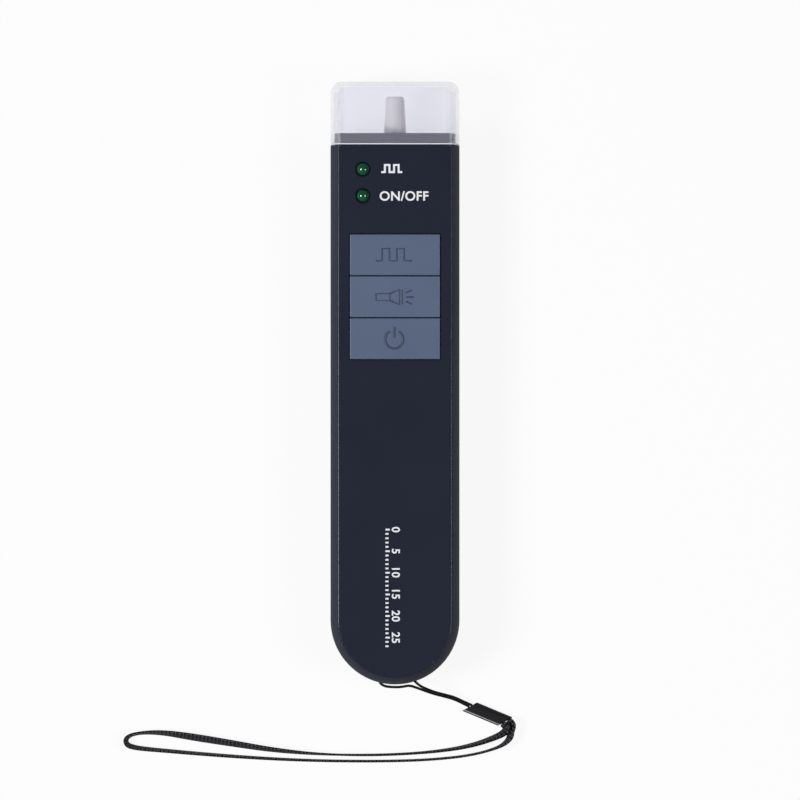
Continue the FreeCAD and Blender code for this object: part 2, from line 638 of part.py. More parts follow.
def make_battery_door():
    """Battery door: a piece of the back's skin with two hooks at its tail end."""
    body = new_body("battery_door")
    corners, arcs = lower_side(ZERO, dim.back_edge_round)
    edge_x = side_arc(dim.door_height, ZERO)[2]
    seat_x = side_arc(dim.door_height, dim.door_wall)[2]
    rim_x = bay_half_width + dim.bay_wall / 2 + dim.door_seat_gap
    inner_x = bay_half_width - dim.bay_wall / 2
    right = corners[:2] + [(edge_x, dim.door_height), (seat_x, dim.door_height),
                           (rim_x, dim.door_rim), (inner_x, dim.door_rim),
                           (inner_x, dim.door_wall)]
    left = [(-x, z) for x, z in reversed(right)]
    right_arcs = arcs[:2] + [None] * 4
    left_arcs = [None] * 4 + [(-arc[0], arc[1], arc[2]) for arc in reversed(arcs[:2])]
    extrude(body, "Pad", "XZ", door_tail_y, door_head_y, lambda sketch: draw_outline(
        sketch, right + left, right_arcs + [None] + left_arcs + [None]))
    for side in (-1, 1):
        x = cell_x * side
        extrude(body, "Pad", "XY", dim.hook_foot, dim.hook_foot + dim.hook_height,
                lambda sketch, x=x: draw_box(
                    sketch, x - dim.hook_width / 2, door_tail_y - dim.hook_length,
                    x + dim.hook_width / 2, door_tail_y + dim.door_lap))
    for index in range(COUNTS["grip_grooves"]):
        y = door_head_y - dim.grip_drop - dim.grip_pitch * index
        extrude(body, "Pocket", "XY", ZERO, dim.grip_depth, lambda sketch, y=y: draw_box(
            sketch, -dim.grip_length / 2, y - dim.grip_width, dim.grip_length / 2, y))
    return keep(body, "battery_door")


def make_cap():
    """Pull-off cap over the port: the case's own section, hollow, with a rounded end."""
    body = new_body("cap")
    side = whole_side(ZERO, dim.face_edge_round, dim.back_edge_round)
    hollow = dim.neck_inset - dim.cap_clearance
    floor_y = cap_top_y - dim.cap_end_wall
    step_y = floor_y - dim.cap_inner_step
    rounding = dim.cap_edge_round
    extrude(body, "Pad", "XZ", shoulder_y + dim.cap_seat_gap, cap_top_y,
            lambda sketch: draw_section(sketch, side))

    def side_corners(sketch):
        arc = (half_width - dim.cap_corner_round, cap_top_y - dim.cap_corner_round,
               dim.cap_corner_round)
        right = [(arc[0], cap_top_y), (half_width, arc[1]), (half_width + OUTSIDE, arc[1]),
                 (half_width + OUTSIDE, cap_top_y + OUTSIDE), (arc[0], cap_top_y + OUTSIDE)]
        draw_outline(sketch, right, [arc] + [None] * 4)
        draw_outline(sketch, [(-x, y) for x, y in right],
                     [(-arc[0], arc[1], arc[2])] + [None] * 4)

    def edge_corners(sketch):
        start_y = cap_top_y - rounding
        past_y = cap_top_y + OUTSIDE
        for edge, centre, outside in (
                (dim.thickness, dim.thickness - rounding, dim.thickness + OUTSIDE),
                (ZERO, rounding, as_length(-OUTSIDE))):
            draw_outline(sketch, [(start_y, edge), (cap_top_y, centre), (past_y, centre),
                                  (past_y, outside), (start_y, outside)],
                         [(start_y, centre, rounding)] + [None] * 4)

    extrude(body, "Pocket", "XY", as_length(-OUTSIDE), dim.thickness + OUTSIDE, side_corners)
    extrude(body, "Pocket", "YZ", -half_width - OUTSIDE, half_width + OUTSIDE, edge_corners)
    extrude(body, "Pocket", "XZ", shoulder_y, step_y,
            lambda sketch: draw_section(sketch, whole_side(hollow)))
    extrude(body, "Pocket", "XZ", step_y, floor_y,
            lambda sketch: draw_section(sketch, whole_side(hollow + dim.cap_inner_step)))
    return keep(body, "cap")


def key_y(index):
    """Middle of a key, counted from the head end of the window."""
    return window_top_y - dim.key_gap - key_length / 2 - key_pitch * index


def make_key(name, index):
    """Moulded key: a hollow block with side flanges and a post over its switch."""
    body = new_body(name)
    half_x, half_y = key_width / 2, key_length / 2
    flange_x = half_x + dim.flange_reach
    flange_y = half_y - dim.flange_reach
    inner_top = key_top - dim.key_wall
    extrude(body, "Pad", "XY", key_foot, key_top, lambda sketch: draw_round_box(
        sketch, -half_x, -half_y, half_x, half_y, dim.key_corner))
    extrude(body, "Pad", "XY", flange_top - dim.flange_height, flange_top,
            lambda sketch: draw_box(sketch, -flange_x, -flange_y, flange_x, flange_y))
    extrude(body, "Pocket", "XY", key_foot, inner_top, lambda sketch: draw_box(
        sketch, -half_x + dim.key_wall, -half_y + dim.key_wall,
        half_x - dim.key_wall, half_y - dim.key_wall))
    extrude(body, "Pad", "XY", key_foot, inner_top,
            lambda sketch: draw_circle(sketch, ZERO, ZERO, dim.post_width))
    finish_edges(body, "Fillet", "key_edge_round", lambda edge: lies_at(edge, key_top))
    return keep(place(body, y=key_y(index)), name)


def make_switch(name, index):
    """Square tactile switch, with a bore that its plunger slides in."""
    body = new_body(name)
    half = dim.switch_width / 2
    top = board_top + dim.switch_case_height
    bore_depth = dim.plunger_depth + dim.key_travel + dim.plunger_clearance
    extrude(body, "Pad", "XY", board_top, top,
            lambda sketch: draw_box(sketch, -half, -half, half, half))
    extrude(body, "Pocket", "XY", top - bore_depth, top, lambda sketch: draw_circle(
        sketch, ZERO, ZERO, dim.plunger_width + dim.plunger_clearance * 2))
    return keep(place(body, y=key_y(index)), name)


def make_plunger(name, index):
    """Round plunger between a key's post and its switch."""
    foot = board_top + dim.switch_case_height - dim.plunger_depth
    radius = dim.plunger_width / 2
    body = lathe(name, "XZ", [(ZERO, foot), (radius, foot), (radius, key_foot), (ZERO, key_foot)])
    return keep(place(body, y=key_y(index)), name)


def make_circuit_board():
    """Circuit board with a slot for the laser barrel and a step for the torch lamp."""
    body = new_body("circuit_board")
    half = board_half_width
    slot_x = dim.barrel_width / 2 + dim.board_slot_clearance
    slot_y = barrel_tail_y - dim.board_slot_clearance
    notch_x = torch_x - torch_flange_radius - dim.notch_clearance
    notch_y = board_head_y - dim.board_notch_depth
    extrude(body, "Pad", "XY", board_foot, board_top, lambda sketch: draw_outline(
        sketch, [(-half, board_tail_y), (half, board_tail_y), (half, notch_y), (notch_x, notch_y),
                 (notch_x, board_head_y), (slot_x, board_head_y), (slot_x, slot_y),
                 (-slot_x, slot_y), (-slot_x, board_head_y), (-half, board_head_y)]))

    def holes(sketch):
        for side in (-1, 1):
            draw_circle(sketch, screw_x * side, screw_y, dim.boss_width + dim.boss_sleeve * 2)
        draw_at_board_screws(sketch, dim.board_screw_width + dim.screw_clearance * 2)

    extrude(body, "Pocket", "XY", board_foot, board_top, holes)
    return keep(body, "circuit_board")


def make_indicator_lamp(name, index):
    """Round-headed indicator lamp with a flange and two leads down to the board."""
    top = dim.thickness + dim.lamp_proud
    foot = top - dim.lamp_height
    radius = dim.lamp_width / 2
    flange_end = foot + dim.flange_thickness
    dome_foot = top - radius
    body = lathe(name, "XZ", [(ZERO, foot), (lamp_flange_radius, foot),
                              (lamp_flange_radius, flange_end), (radius, flange_end),
                              (radius, dome_foot), (ZERO, top)],
                 [None, None, None, None, (ZERO, dome_foot, radius), None])
    add_leads(body, "XY", board_top, foot, ZERO)
    return keep(place(body, x=-lamp_x, y=lamp_y(index)), name)


def add_leads(body, plane, low, high, across):
    """Two square leads either side of the middle line."""
    half = dim.lead_width / 2
    for side in (-1, 1):
        x = dim.lead_pitch * side / 2
        extrude(body, "Pad", plane, low, high,
                lambda sketch, x=x: draw_box(sketch, x - half, across - half, x + half, across + half))


def make_laser_barrel():
    """Brass laser module: a turned barrel with a front aperture and two leads under the board."""
    body = new_body("laser_barrel")
    radius = dim.barrel_width / 2
    aperture = dim.aperture_width / 2
    aperture_y = barrel_head_y - dim.aperture_depth
    collar_y = barrel_tail_y + dim.rib_thickness
    waist = radius - dim.waist_step
    turn(body, "Revolution", "XY", axis_height, lambda sketch: draw_outline(sketch, [
        (ZERO, barrel_tail_y), (waist, barrel_tail_y), (waist, collar_y), (radius, collar_y),
        (radius, barrel_head_y), (aperture, barrel_head_y), (aperture, aperture_y),
        (ZERO, aperture_y)]))
    add_leads(body, "XZ", barrel_tail_y - dim.lead_pitch, barrel_tail_y,
              board_foot - dim.lead_width / 2)
    return keep(body, "laser_barrel")


def make_port_guard():
    """Pale guard round the port: a flange behind the end wall and a tube for the sleeve."""
    body = new_body("port_guard")
    flange, outer, tip = dim.barrel_width / 2, dim.guard_width / 2, dim.guard_tip_width / 2
    seat = dim.sleeve_width / 2 + dim.guard_clearance
    mouth = dim.ferrule_width / 2 + dim.guard_clearance * 2
    turn(body, "Revolution", "XY", axis_height, lambda sketch: draw_outline(sketch, [
        (seat, barrel_head_y), (flange, barrel_head_y), (flange, neck_floor_y),
        (outer, neck_floor_y), (outer, neck_end_y + dim.guard_collar),
        (tip, guard_tip_y - dim.guard_bevel), (tip - dim.guard_bevel, guard_tip_y),
        (mouth, guard_tip_y), (mouth, guard_lip_y), (seat, guard_lip_y)]))
    return keep(body, "port_guard")


def make_ferrule_sleeve():
    """Ceramic sleeve for a connector's ferrule, between the barrel's face and the guard's lip."""
    body = new_body("ferrule_sleeve")
    turn(body, "Revolution", "XY", axis_height, lambda sketch: draw_box(
        sketch, dim.ferrule_width / 2, barrel_head_y, dim.sleeve_width / 2, guard_lip_y))
    return keep(body, "ferrule_sleeve")


def make_torch_lamp():
    """Torch lamp in the neck's end wall, beside the port."""
    body = new_body("torch_lamp")
    tip_y = neck_end_y - dim.torch_recess
    foot_y = tip_y - dim.torch_length
    flange_y = foot_y + dim.flange_thickness
    radius = dim.torch_width / 2
    dome_y = tip_y - radius
    turn(body, "Revolution", "XY", axis_height, lambda sketch: draw_outline(
        sketch, [(ZERO, foot_y), (torch_flange_radius, foot_y), (torch_flange_radius, flange_y),
                 (radius, flange_y), (radius, dome_y), (ZERO, tip_y)],
        [None, None, None, None, (ZERO, dome_y, radius), None]))
    add_leads(body, "XZ", foot_y - dim.lead_pitch, foot_y, axis_height)
    return keep(place(body, x=torch_x), "torch_lamp")


def make_cell(name, side, positive_y, direction):
    """Small round cell: a can with a raised positive end, pointing up or down the case."""
    body = new_body(name)
    radius, nub = cell_width / 2, dim.cell_nub_width / 2
    shoulder = positive_y - dim.cell_nub_length * direction
    foot = positive_y - cell_length * direction
    bevel = dim.cell_bevel
    bevel_shoulder, bevel_foot = shoulder - bevel * direction, foot + bevel * direction
    turn(body, "Revolution", "XY", cell_height, lambda sketch: draw_outline(sketch, [
        (ZERO, foot), (radius - bevel, foot), (radius, bevel_foot), (radius, bevel_shoulder),
        (radius - bevel, shoulder), (nub, shoulder), (nub, positive_y), (ZERO, positive_y)]))
    return keep(place(body, x=cell_x * side), name)


def make_head_contact(name, side):
    """Head contact: a plate in the bay with a solder tab that reaches under the board."""
    body = new_body(name)
    plate_y = bay_head_y - dim.contact_thickness
    tab_foot = board_foot - dim.contact_thickness
    extrude(body, "Pad", "XZ", plate_y, bay_head_y, lambda sketch: draw_box(
        sketch, -contact_half, cell_height - contact_half, contact_half, board_foot))
    extrude(body, "Pad", "XY", tab_foot, board_foot, lambda sketch: draw_box(
        sketch, -dim.tab_width / 2, plate_y, dim.tab_width / 2, board_tail_y + dim.tab_width))
    return keep(place(body, x=cell_x * side), name)


def make_tail_contact():
    """Tail contact: one plate that joins both cells."""
    body = new_body("tail_contact")
    reach = cell_x + contact_half
    extrude(body, "Pad", "XZ", bay_tail_y, bay_tail_y + dim.contact_thickness,
            lambda sketch: draw_box(sketch, -reach, cell_height - contact_half,
                                    reach, cell_height + contact_half))
    return keep(body, "tail_contact")


def make_contact_spring(name, side, foot_y, direction):
    """Coiled contact spring between a plate and the flat end of a cell."""
    feature = doc.addObject("Part::Feature", name)
    wire_radius = dim.spring_wire.value / 2
    coil_radius = dim.cell_nub_width.value / 2
    height = dim.spring_length.value - dim.spring_wire.value
    helix = Part.makeHelix(height / COUNTS["spring_turns"], height, coil_radius)
    sides = COUNTS["spring_wire_sides"]
    angles = [2 * math.pi * index / sides for index in range(sides + 1)]
    profile = Part.makePolygon([
        Vector(coil_radius + wire_radius * math.cos(angle), 0, wire_radius * math.sin(angle))
        for angle in angles])
    coil = helix.makePipeShell([profile], True, True)
    feature.Shape = coil
    feature.Placement.Rotation = FreeCAD.Rotation(Vector(0, 0, 1), Vector(0, direction, 0))
    coil_y = foot_y + dim.spring_wire * direction / 2
    return keep(place(feature, cell_x * side, coil_y, cell_height), name)


def make_driver_chip():
    """Driver chip under the board, with four legs a side."""
    body = new_body("driver_chip")
    half_x, half_y = dim.chip_width / 2, dim.chip_length / 2
    leg_top = board_foot - dim.slot_clearance
    extrude(body, "Pad", "XY", board_foot - dim.chip_height, leg_top,
            lambda sketch: draw_box(sketch, -half_x, -half_y, half_x, half_y))
    legs = COUNTS["chip_legs"]
    pitch = dim.chip_length / legs
    for index in range(legs):
        y = pitch * (index - (legs - 1) / 2)
        half = dim.chip_leg_width / 2
        extrude(body, "Pad", "XY", leg_top - dim.slot_clearance, board_foot,
                lambda sketch, y=y, half=half: draw_box(
                    sketch, -half_x - dim.chip_leg_reach, y - half, half_x + dim.chip_leg_reach,
                    y + half))
    return keep(place(body, y=board_tail_y + dim.chip_rise), "driver_chip")


def make_screw(name, x, y, seat, width, length, head_width, head_height):
    """Pan-head screw that points up, with its head below the seat and a crossed recess."""
    radius, head_radius = width / 2, head_width / 2
    foot, tip = seat - head_height, seat + length
    body = lathe(name, "XZ", [(ZERO, foot), (head_radius, foot), (head_radius, seat),
                              (radius, seat), (radius, tip - radius), (ZERO, tip)])
    half_cross, half_slot = head_radius * dim.cross_length, head_radius * dim.cross_width
    for half_x, half_y in ((half_cross, half_slot), (half_slot, half_cross)):
        extrude(body, "Pocket", "XY", foot, foot + head_height / 2,
                lambda sketch, a=half_x, b=half_y: draw_box(sketch, -a, -b, a, b))
    return place(body, x, y)


def make_case_screws():
    """The four screws that close the case, as one group."""
    group = doc.addObject("Part::Compound", "case_screws")
    group.Links = [
        make_screw("case_screw_%s_%d" % (end, side), across * side, y, dim.head_seat,
                   dim.screw_width, dim.screw_length, dim.screw_head_width, dim.screw_head_height)
        for end, across, y in (("head", screw_x, screw_y),
                               ("tail", tail_screw_x, tail_screw_y))
        for side in (-1, 1)]
    return keep(group, "case_screws")


def make_board_screws():
    """The two screws that hold the board to the front shell, as one group."""
    group = doc.addObject("Part::Compound", "board_screws")
    group.Links = [
        make_screw("board_screw_%d" % side, board_screw_x * side, board_screw_y, board_foot,
                   dim.board_screw_width, board_screw_tip - board_foot, dim.board_screw_head,
                   dim.board_screw_head_height)
        for side in (-1, 1)]
    return keep(group, "board_screws")


def make_strap_clasp():
    """Folded sleeve that holds the ends of the ribbon and of the thin cord."""
    body = new_body("strap_clasp")
    half_x, half_y, slant = dim.clasp_length / 2, dim.clasp_width / 2, dim.clasp_slant / 2
    extrude(body, "Pad", "XY", ZERO, dim.clasp_height, lambda sketch: draw_outline(sketch, [
        (-half_x - slant, -half_y), (half_x - slant, -half_y),
        (half_x + slant, half_y), (-half_x + slant, half_y)]))
    body.Placement.Rotation = FreeCAD.Rotation(Vector(0, 0, -1), dim.clasp_turn.value)
    body.setExpression("Placement.Rotation.Angle", dim.clasp_turn.formula)
    return keep(place(body, CLASP_MIDDLE[0], CLASP_MIDDLE[1]), "strap_clasp")


def rounded_path(points, name):
    """A wire of straight runs joined by tangent arcs, each as large as its two runs allow."""
    points = [Vector(*point) for point in points]
    edges, start, radii = [], points[0], []
    for before, corner, after in zip(points, points[1:], points[2:]):
        inward, outward = before - corner, after - corner
        reach = 0.45 * min(inward.Length, outward.Length)
        inward.normalize()
        outward.normalize()
        half_turn = (math.pi - inward.getAngle(outward)) / 2
        radius = reach / math.tan(half_turn)
        radii.append(radius)
        middle = (inward + outward).normalize()
        centre = corner + middle * (radius / math.cos(half_turn))
        first, last = corner + inward * reach, corner + outward * reach
        edges.append(Part.LineSegment(start, first).toShape())
        edges.append(Part.Arc(first, centre - middle * radius, last).toShape())
        start = last
    edges.append(Part.LineSegment(start, points[-1]).toShape())
    path = Part.Wire(edges)
    print(name, "length %.1f" % path.Length, "radii", ["%.2f" % radius for radius in radii])
    return path, (points[1] - points[0]).normalize()


def swept(name, path, profile, upright):
    """Sweep a closed outline along a path, kept upright or not, and check the volume."""
    sweep = Part.BRepOffsetAPI.MakePipeShell(path)
    if upright:
        sweep.setBiNormalMode(Vector(0, 0, 1))
    else:
        sweep.setFrenetMode(False)
    sweep.add(profile)
    sweep.build()
    sweep.makeSolid()
    solid = sweep.shape()
    expected = Part.Face(profile).Area * path.Length
    print(name, "volume %.2f of %.2f expected" % (solid.Volume, expected))
    feature = doc.addObject("Part::Feature", name)
    feature.Shape = solid
    return keep(feature, name)


def make_strap_cord():
    """Thin cord from the clasp through the tunnel, round the strap bar and back."""
    path, along = rounded_path(CORD_ROUTE, "strap_cord")
    circle = Part.makeCircle(dim.cord_width.value / 2, Vector(*CORD_ROUTE[0]), along)
    return swept("strap_cord", path, Part.Wire(circle), False)


def make_strap_ribbon():
    """Woven ribbon on its edge, from the clasp round its far end and back."""
    rise = dim.ribbon_width.value / 2
    points = [(x, y, rise) for x, y in RIBBON_ROUTE]
    path, along = rounded_path(points, "strap_ribbon")
    aside = along.cross(Vector(0, 0, 1)) * (dim.ribbon_thickness.value / 2)
    upward = Vector(0, 0, rise)
    start = Vector(*points[0])
    corners = [start - aside - upward, start + aside - upward,
               start + aside + upward, start - aside + upward]
    return swept("strap_ribbon", path, Part.makePolygon(corners + corners[:1]), True)


def build_all():
    """Make every sub-part."""
    make_front_shell()
    make_rear_shell()
    make_battery_door()
    make_cap()
    for index, use in enumerate(("pulse", "torch", "power")):
        make_key(use + "_key", index)
        make_switch(use + "_switch", index)
        make_plunger(use + "_plunger", index)
    make_circuit_board()
    make_driver_chip()
    make_indicator_lamp("upper_lamp", 0)
    make_indicator_lamp("lower_lamp", 1)
    make_laser_barrel()
    make_port_guard()
    make_ferrule_sleeve()
    make_torch_lamp()
    make_cell("left_cell", -1, bay_head_y - dim.contact_thickness, 1)
    make_cell("right_cell", 1, bay_tail_y + dim.contact_thickness, -1)
    make_head_contact("left_contact", -1)
    make_head_contact("right_contact", 1)
    make_tail_contact()
    make_contact_spring("left_spring", -1, bay_tail_y + dim.contact_thickness, 1)
    make_contact_spring("right_spring", 1, bay_head_y - dim.contact_thickness, -1)
    make_case_screws()
    make_board_screws()
    make_strap_clasp()
    make_strap_cord()
    make_strap_ribbon()


def check_and_write():
    """Stop on any failed object or broken shape, then write each sub-part's file."""
    doc.recompute()
    failed = [item.Name for item in doc.Objects if "Invalid" in item.State or "Error" in item.State]
    if failed:
        raise RuntimeError("failed objects: %s" % ", ".join(failed))
    for sub_part in SUB_PARTS:
        shape = sub_part.Shape
        if shape.isNull() or not shape.isValid() or not shape.Solids:
            raise RuntimeError("broken shape: " + sub_part.Label)
    os.makedirs("parts", exist_ok=True)
    for sub_part in SUB_PARTS:
        sub_part.Shape.exportStep("parts/%s.step" % sub_part.Label)
        print("%-16s %2d solid %9.2f mm3" % (
            sub_part.Label, len(sub_part.Shape.Solids), sub_part.Shape.Volume))


build_all()
check_and_write()
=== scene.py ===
import math

import bmesh
import bpy
from mathutils import Matrix, Vector


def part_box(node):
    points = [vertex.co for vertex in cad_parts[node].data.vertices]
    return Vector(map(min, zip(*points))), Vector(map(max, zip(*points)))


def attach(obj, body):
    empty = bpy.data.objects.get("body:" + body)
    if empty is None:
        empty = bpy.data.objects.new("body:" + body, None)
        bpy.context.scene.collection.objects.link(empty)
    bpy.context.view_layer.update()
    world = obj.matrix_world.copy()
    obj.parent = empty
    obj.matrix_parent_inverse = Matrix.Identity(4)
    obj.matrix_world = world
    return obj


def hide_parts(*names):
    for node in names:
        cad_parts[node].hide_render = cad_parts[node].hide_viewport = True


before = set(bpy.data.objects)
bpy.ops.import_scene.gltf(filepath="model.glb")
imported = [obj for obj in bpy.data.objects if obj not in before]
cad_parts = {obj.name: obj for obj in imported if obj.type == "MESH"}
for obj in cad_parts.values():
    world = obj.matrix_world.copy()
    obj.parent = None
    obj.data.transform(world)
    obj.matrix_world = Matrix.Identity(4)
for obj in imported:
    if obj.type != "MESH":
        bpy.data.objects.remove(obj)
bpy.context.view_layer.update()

# CAMERA
# It hangs straight over the device, which lies on its back with its cap away from the viewer.
# It is so far off that the sloping sides show only as narrow strips.


def placed(name, data):
    """A new object in the scene, at the origin, unturned and unscaled."""
    piece = bpy.data.objects.new(name, data)
    bpy.context.scene.collection.objects.link(piece)
    return piece


camera_data = bpy.data.cameras.new("camera")
camera_data.sensor_width = 36.0
camera_data.lens = 388.7
camera_data.clip_end = 12.0
camera = placed("camera", camera_data)
camera.location = (0.001163, -0.00379, 2.018)
bpy.context.scene.camera = camera

# WRIST STRAP, RIBBON
# A woven polyester tape, 3 mm wide, that lies on its edge and turns its face up on its way back
# from the far end. Both of its ends are held in the clasp.
RIBBON_WIDTH = 0.0030
RIBBON_THICKNESS = 0.00052
RIBBON_SOFTNESS = 0.00015  # how far its four long edges are taken off
RIBBON_FACE_STEPS = 10
RIBBON_THREADS = (210.0, 10.0)  # along it, and once round it
RIBBON_WEAVE_DEPTH = 0.00020
RIBBON_LEAN = [-22, -32, -30, -22, -16, -11, -5, 0, 0, 4, 17, 26, 31, 18, 6, 13, 15, 11, 8, 6,
               4, 1, 0, 0, 0, 0, 0, 4, 14, 24, 30, 34, 32, 22]  # degrees off upright
RIBBON_ROUTE = [
    (0.02495, -0.07935), (0.02605, -0.07995), (0.02605, -0.08095), (0.0248, -0.0819),
    (0.0224, -0.08295), (0.0186, -0.08425), (0.0132, -0.0854), (0.0050, -0.0863),
    (-0.0060, -0.08675), (-0.0180, -0.0865), (-0.0285, -0.0855), (-0.0380, -0.08395),
    (-0.0470, -0.0825), (-0.0545, -0.08135), (-0.0603, -0.0815), (-0.0629, -0.0826),
    (-0.0627, -0.0844), (-0.0600, -0.0851), (-0.0545, -0.0856), (-0.0460, -0.08635),
    (-0.0350, -0.0872), (-0.0210, -0.08795), (-0.0060, -0.08815), (0.0050, -0.08795),
    (0.0135, -0.0873), (0.0186, -0.0865), (0.0220, -0.0856), (0.0245, -0.0847),
    (0.0261, -0.0836), (0.02695, -0.0824), (0.02695, -0.0812), (0.0273, -0.0801),
    (0.0272, -0.0792), (0.02645, -0.0785),
]
THREAD_SCALE = 0.314  # of a wave texture: one band to each unit of its vector


def principled(name, roughness, **sockets):
    """A material with its Principled shader's sockets set, and its node tree to add to."""
    material = bpy.data.materials.new(name)
    material.use_nodes = True
    shader = material.node_tree.nodes["Principled BSDF"]
    shader.inputs["Roughness"].default_value = roughness
    for socket, value in sockets.items():
        shader.inputs[socket.replace("_", " ")].default_value = value
    return material, material.node_tree, shader


def chain(tree, kind, **settings):
    """A new node with its properties, and sockets given by name or index, set or linked."""
    node = tree.nodes.new("ShaderNode" + kind)
    for name, value in settings.items():
        if name == "sockets":
            for socket, source in value.items():
                if isinstance(source, bpy.types.NodeSocket):
                    tree.links.new(source, node.inputs[socket])
                else:
                    node.inputs[socket].default_value = source
        else:
            setattr(node, name, value)
    return node


def two_tone(tree, shader, factor, dark, light):
    """Base colour between two tones by a factor."""
    ramp = chain(tree, "Mix", data_type="RGBA", sockets={0: factor, 6: dark, 7: light})
    tree.links.new(ramp.outputs[2], shader.inputs["Base Color"])


def bump(tree, shader, height, distance):
    """Surface relief of a given depth in metres."""
    relief = chain(tree, "Bump", sockets={
        "Height": height, "Distance": distance, "Strength": 1.0})
    tree.links.new(relief.outputs["Normal"], shader.inputs["Normal"])


def woven(name, threads, dark, light, depth):
    """Plain weave that follows a cord's own UV map: bands one way, crossed bands between them,
    with a painted highlight on the raised threads and painted shade between them.
    """
    material, tree, shader = principled(name, 0.7, Specular_IOR_Level=0.15)
    uv = chain(tree, "TexCoord").outputs["UV"]
    scaled = chain(tree, "Mapping", sockets={
        "Vector": uv, "Scale": (*threads, 1.0)}).outputs[0]
    warp, weft = [
        chain(tree, "TexWave", bands_direction=across, wave_profile="SIN", sockets={
            "Vector": scaled, "Scale": THREAD_SCALE, "Distortion": 0.4,
            "Detail": 1.0}).outputs["Fac"]
        for across in "XY"]
    over = chain(tree, "TexChecker", sockets={"Vector": scaled, "Scale": 1.0}).outputs["Fac"]
    relief = chain(tree, "Mix", data_type="FLOAT", sockets={
        0: over, 2: warp, 3: weft}).outputs[0]
    # Painted light: the colour is lighter where the threads stand up and darker between them.
    painted_thread_light = chain(tree, "MapRange", interpolation_type="SMOOTHSTEP", sockets={
        "Value": relief, "From Min": 0.45, "From Max": 0.95})
    two_tone(tree, shader, painted_thread_light.outputs[0], dark, light)
    bump(tree, shader, relief, depth)
    return material


def routed(name, points, leans=None):
    """One open, smooth curve with the given points as its control points."""
    curve = bpy.data.curves.new(name, "CURVE")
    curve.dimensions = "3D"
    curve.resolution_u = 12
    curve.twist_mode = "Z_UP"
    curve.use_fill_caps = True
    spline = curve.splines.new("NURBS")
    spline.points.add(len(points) - 1)
    for index, (point, place) in enumerate(zip(spline.points, points)):
        point.co = (*place, 1.0)
        point.tilt = math.radians(leans[index]) if leans else 0.0
    spline.order_u = 3
    spline.use_endpoint_u = True
    return placed(name, curve)


ribbon_line = routed("ribbon_line", [(x, y, RIBBON_WIDTH / 2) for x, y in RIBBON_ROUTE],
                     RIBBON_LEAN)
ribbon_path = [vertex.co.copy() for vertex in
               bpy.data.meshes.new_from_object(ribbon_line).vertices]

# Its section: flat faces with evenly spaced points, so that the weave isn't stretched.
half_thick, half_wide = RIBBON_THICKNESS / 2, RIBBON_WIDTH / 2
turn_in, turn_up = half_thick - RIBBON_SOFTNESS, half_wide - RIBBON_SOFTNESS
climb = [turn_up * (2 * step / RIBBON_FACE_STEPS - 1) for step in range(RIBBON_FACE_STEPS + 1)]
outline = [(-turn_in, -half_wide), (turn_in, -half_wide)] + [(half_thick, up) for up in climb]
outline += [(turn_in, half_wide), (-turn_in, half_wide)] + [(-half_thick, -up) for up in climb]
section_curve = bpy.data.curves.new("ribbon_section", "CURVE")
section_curve.dimensions = "2D"
section_line = section_curve.splines.new("POLY")
section_line.points.add(len(outline) - 1)
for point, (across, up) in zip(section_line.points, outline):
    point.co = (across, up, 0.0, 1.0)
section_line.use_cyclic_u = True
section_piece = bpy.data.objects.new("ribbon_section", section_curve)
ribbon_line.data.bevel_mode = "OBJECT"
ribbon_line.data.bevel_object = section_piece

# The tape is a mesh, because its map can then be spread by the length run: the threads keep
# their pitch where the curve's points lie close together.
depsgraph = bpy.context.evaluated_depsgraph_get()
tape = bpy.data.meshes.new_from_object(ribbon_line.evaluated_get(depsgraph))
tape.name = "ribbon"
length_run = [0.0]
for here, ahead in zip(ribbon_path, ribbon_path[1:]):
    length_run.append(length_run[-1] + (ahead - here).length)
for corner in tape.uv_layers[0].data:
    corner.uv.x = length_run[round(corner.uv.x * (len(length_run) - 1))] / length_run[-1]
tape.materials.clear()
# Dark tone between the threads, lighter tone on their tops as a painted highlight.
tape.materials.append(woven("tape_weave", RIBBON_THREADS, (0.0015, 0.0015, 0.002, 1.0),
                            (0.078, 0.078, 0.096, 1.0), RIBBON_WEAVE_DEPTH))
ribbon = placed("ribbon", tape)
bpy.data.objects.remove(ribbon_line)
bpy.data.objects.remove(section_piece)
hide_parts("strap_ribbon")
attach(ribbon, "root")

# WRIST STRAP, THIN CORD
# A braided cord, 0.6 mm thick, looped through the slot in the tail and back.
# Both of its strands end in the clasp.
CORD_WIDTH = 0.0006
CORD_THREADS = (110.0, 6.0)  # along it, and once round it
CORD_WEAVE_DEPTH = 0.00008
CORD_ROUTE = [
    (0.0180, -0.07507, 0.0011), (0.0160, -0.0742, 0.00135), (0.0139, -0.07315, 0.0022),
    (0.0116, -0.0725, 0.0036), (0.0092, -0.07185, 0.0052), (0.0073, -0.07105, 0.0065),
    (0.0057, -0.0703, 0.0071), (0.0041, -0.06875, 0.0072), (0.0026, -0.06795, 0.0072),
    (0.0, -0.0679, 0.0072), (-0.0026, -0.06795, 0.0072), (-0.0040, -0.0689, 0.0072),
    (-0.0029, -0.07035, 0.0072), (-0.0006, -0.07065, 0.0072), (0.0016, -0.0706, 0.0072),
    (0.0034, -0.0702, 0.0071), (0.0052, -0.07085, 0.00675), (0.0072, -0.0716, 0.0059),
    (0.0091, -0.0723, 0.0046), (0.0115, -0.07295, 0.0030), (0.0137, -0.0736, 0.0016),
    (0.0157, -0.07455, 0.00075), (0.01735, -0.0754, 0.00095),
]
thin_cord = routed("thin_cord", CORD_ROUTE)
thin_cord.data.bevel_depth = CORD_WIDTH / 2
thin_cord.data.bevel_resolution = 4
# Dark tone between the threads, lighter tone on their tops as a painted highlight.
thin_cord.data.materials.append(woven("braid_weave", CORD_THREADS, (0.002, 0.002, 0.0025, 1.0),
                                      (0.020, 0.020, 0.022, 1.0), CORD_WEAVE_DEPTH))
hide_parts("strap_cord")
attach(thin_cord, "root")

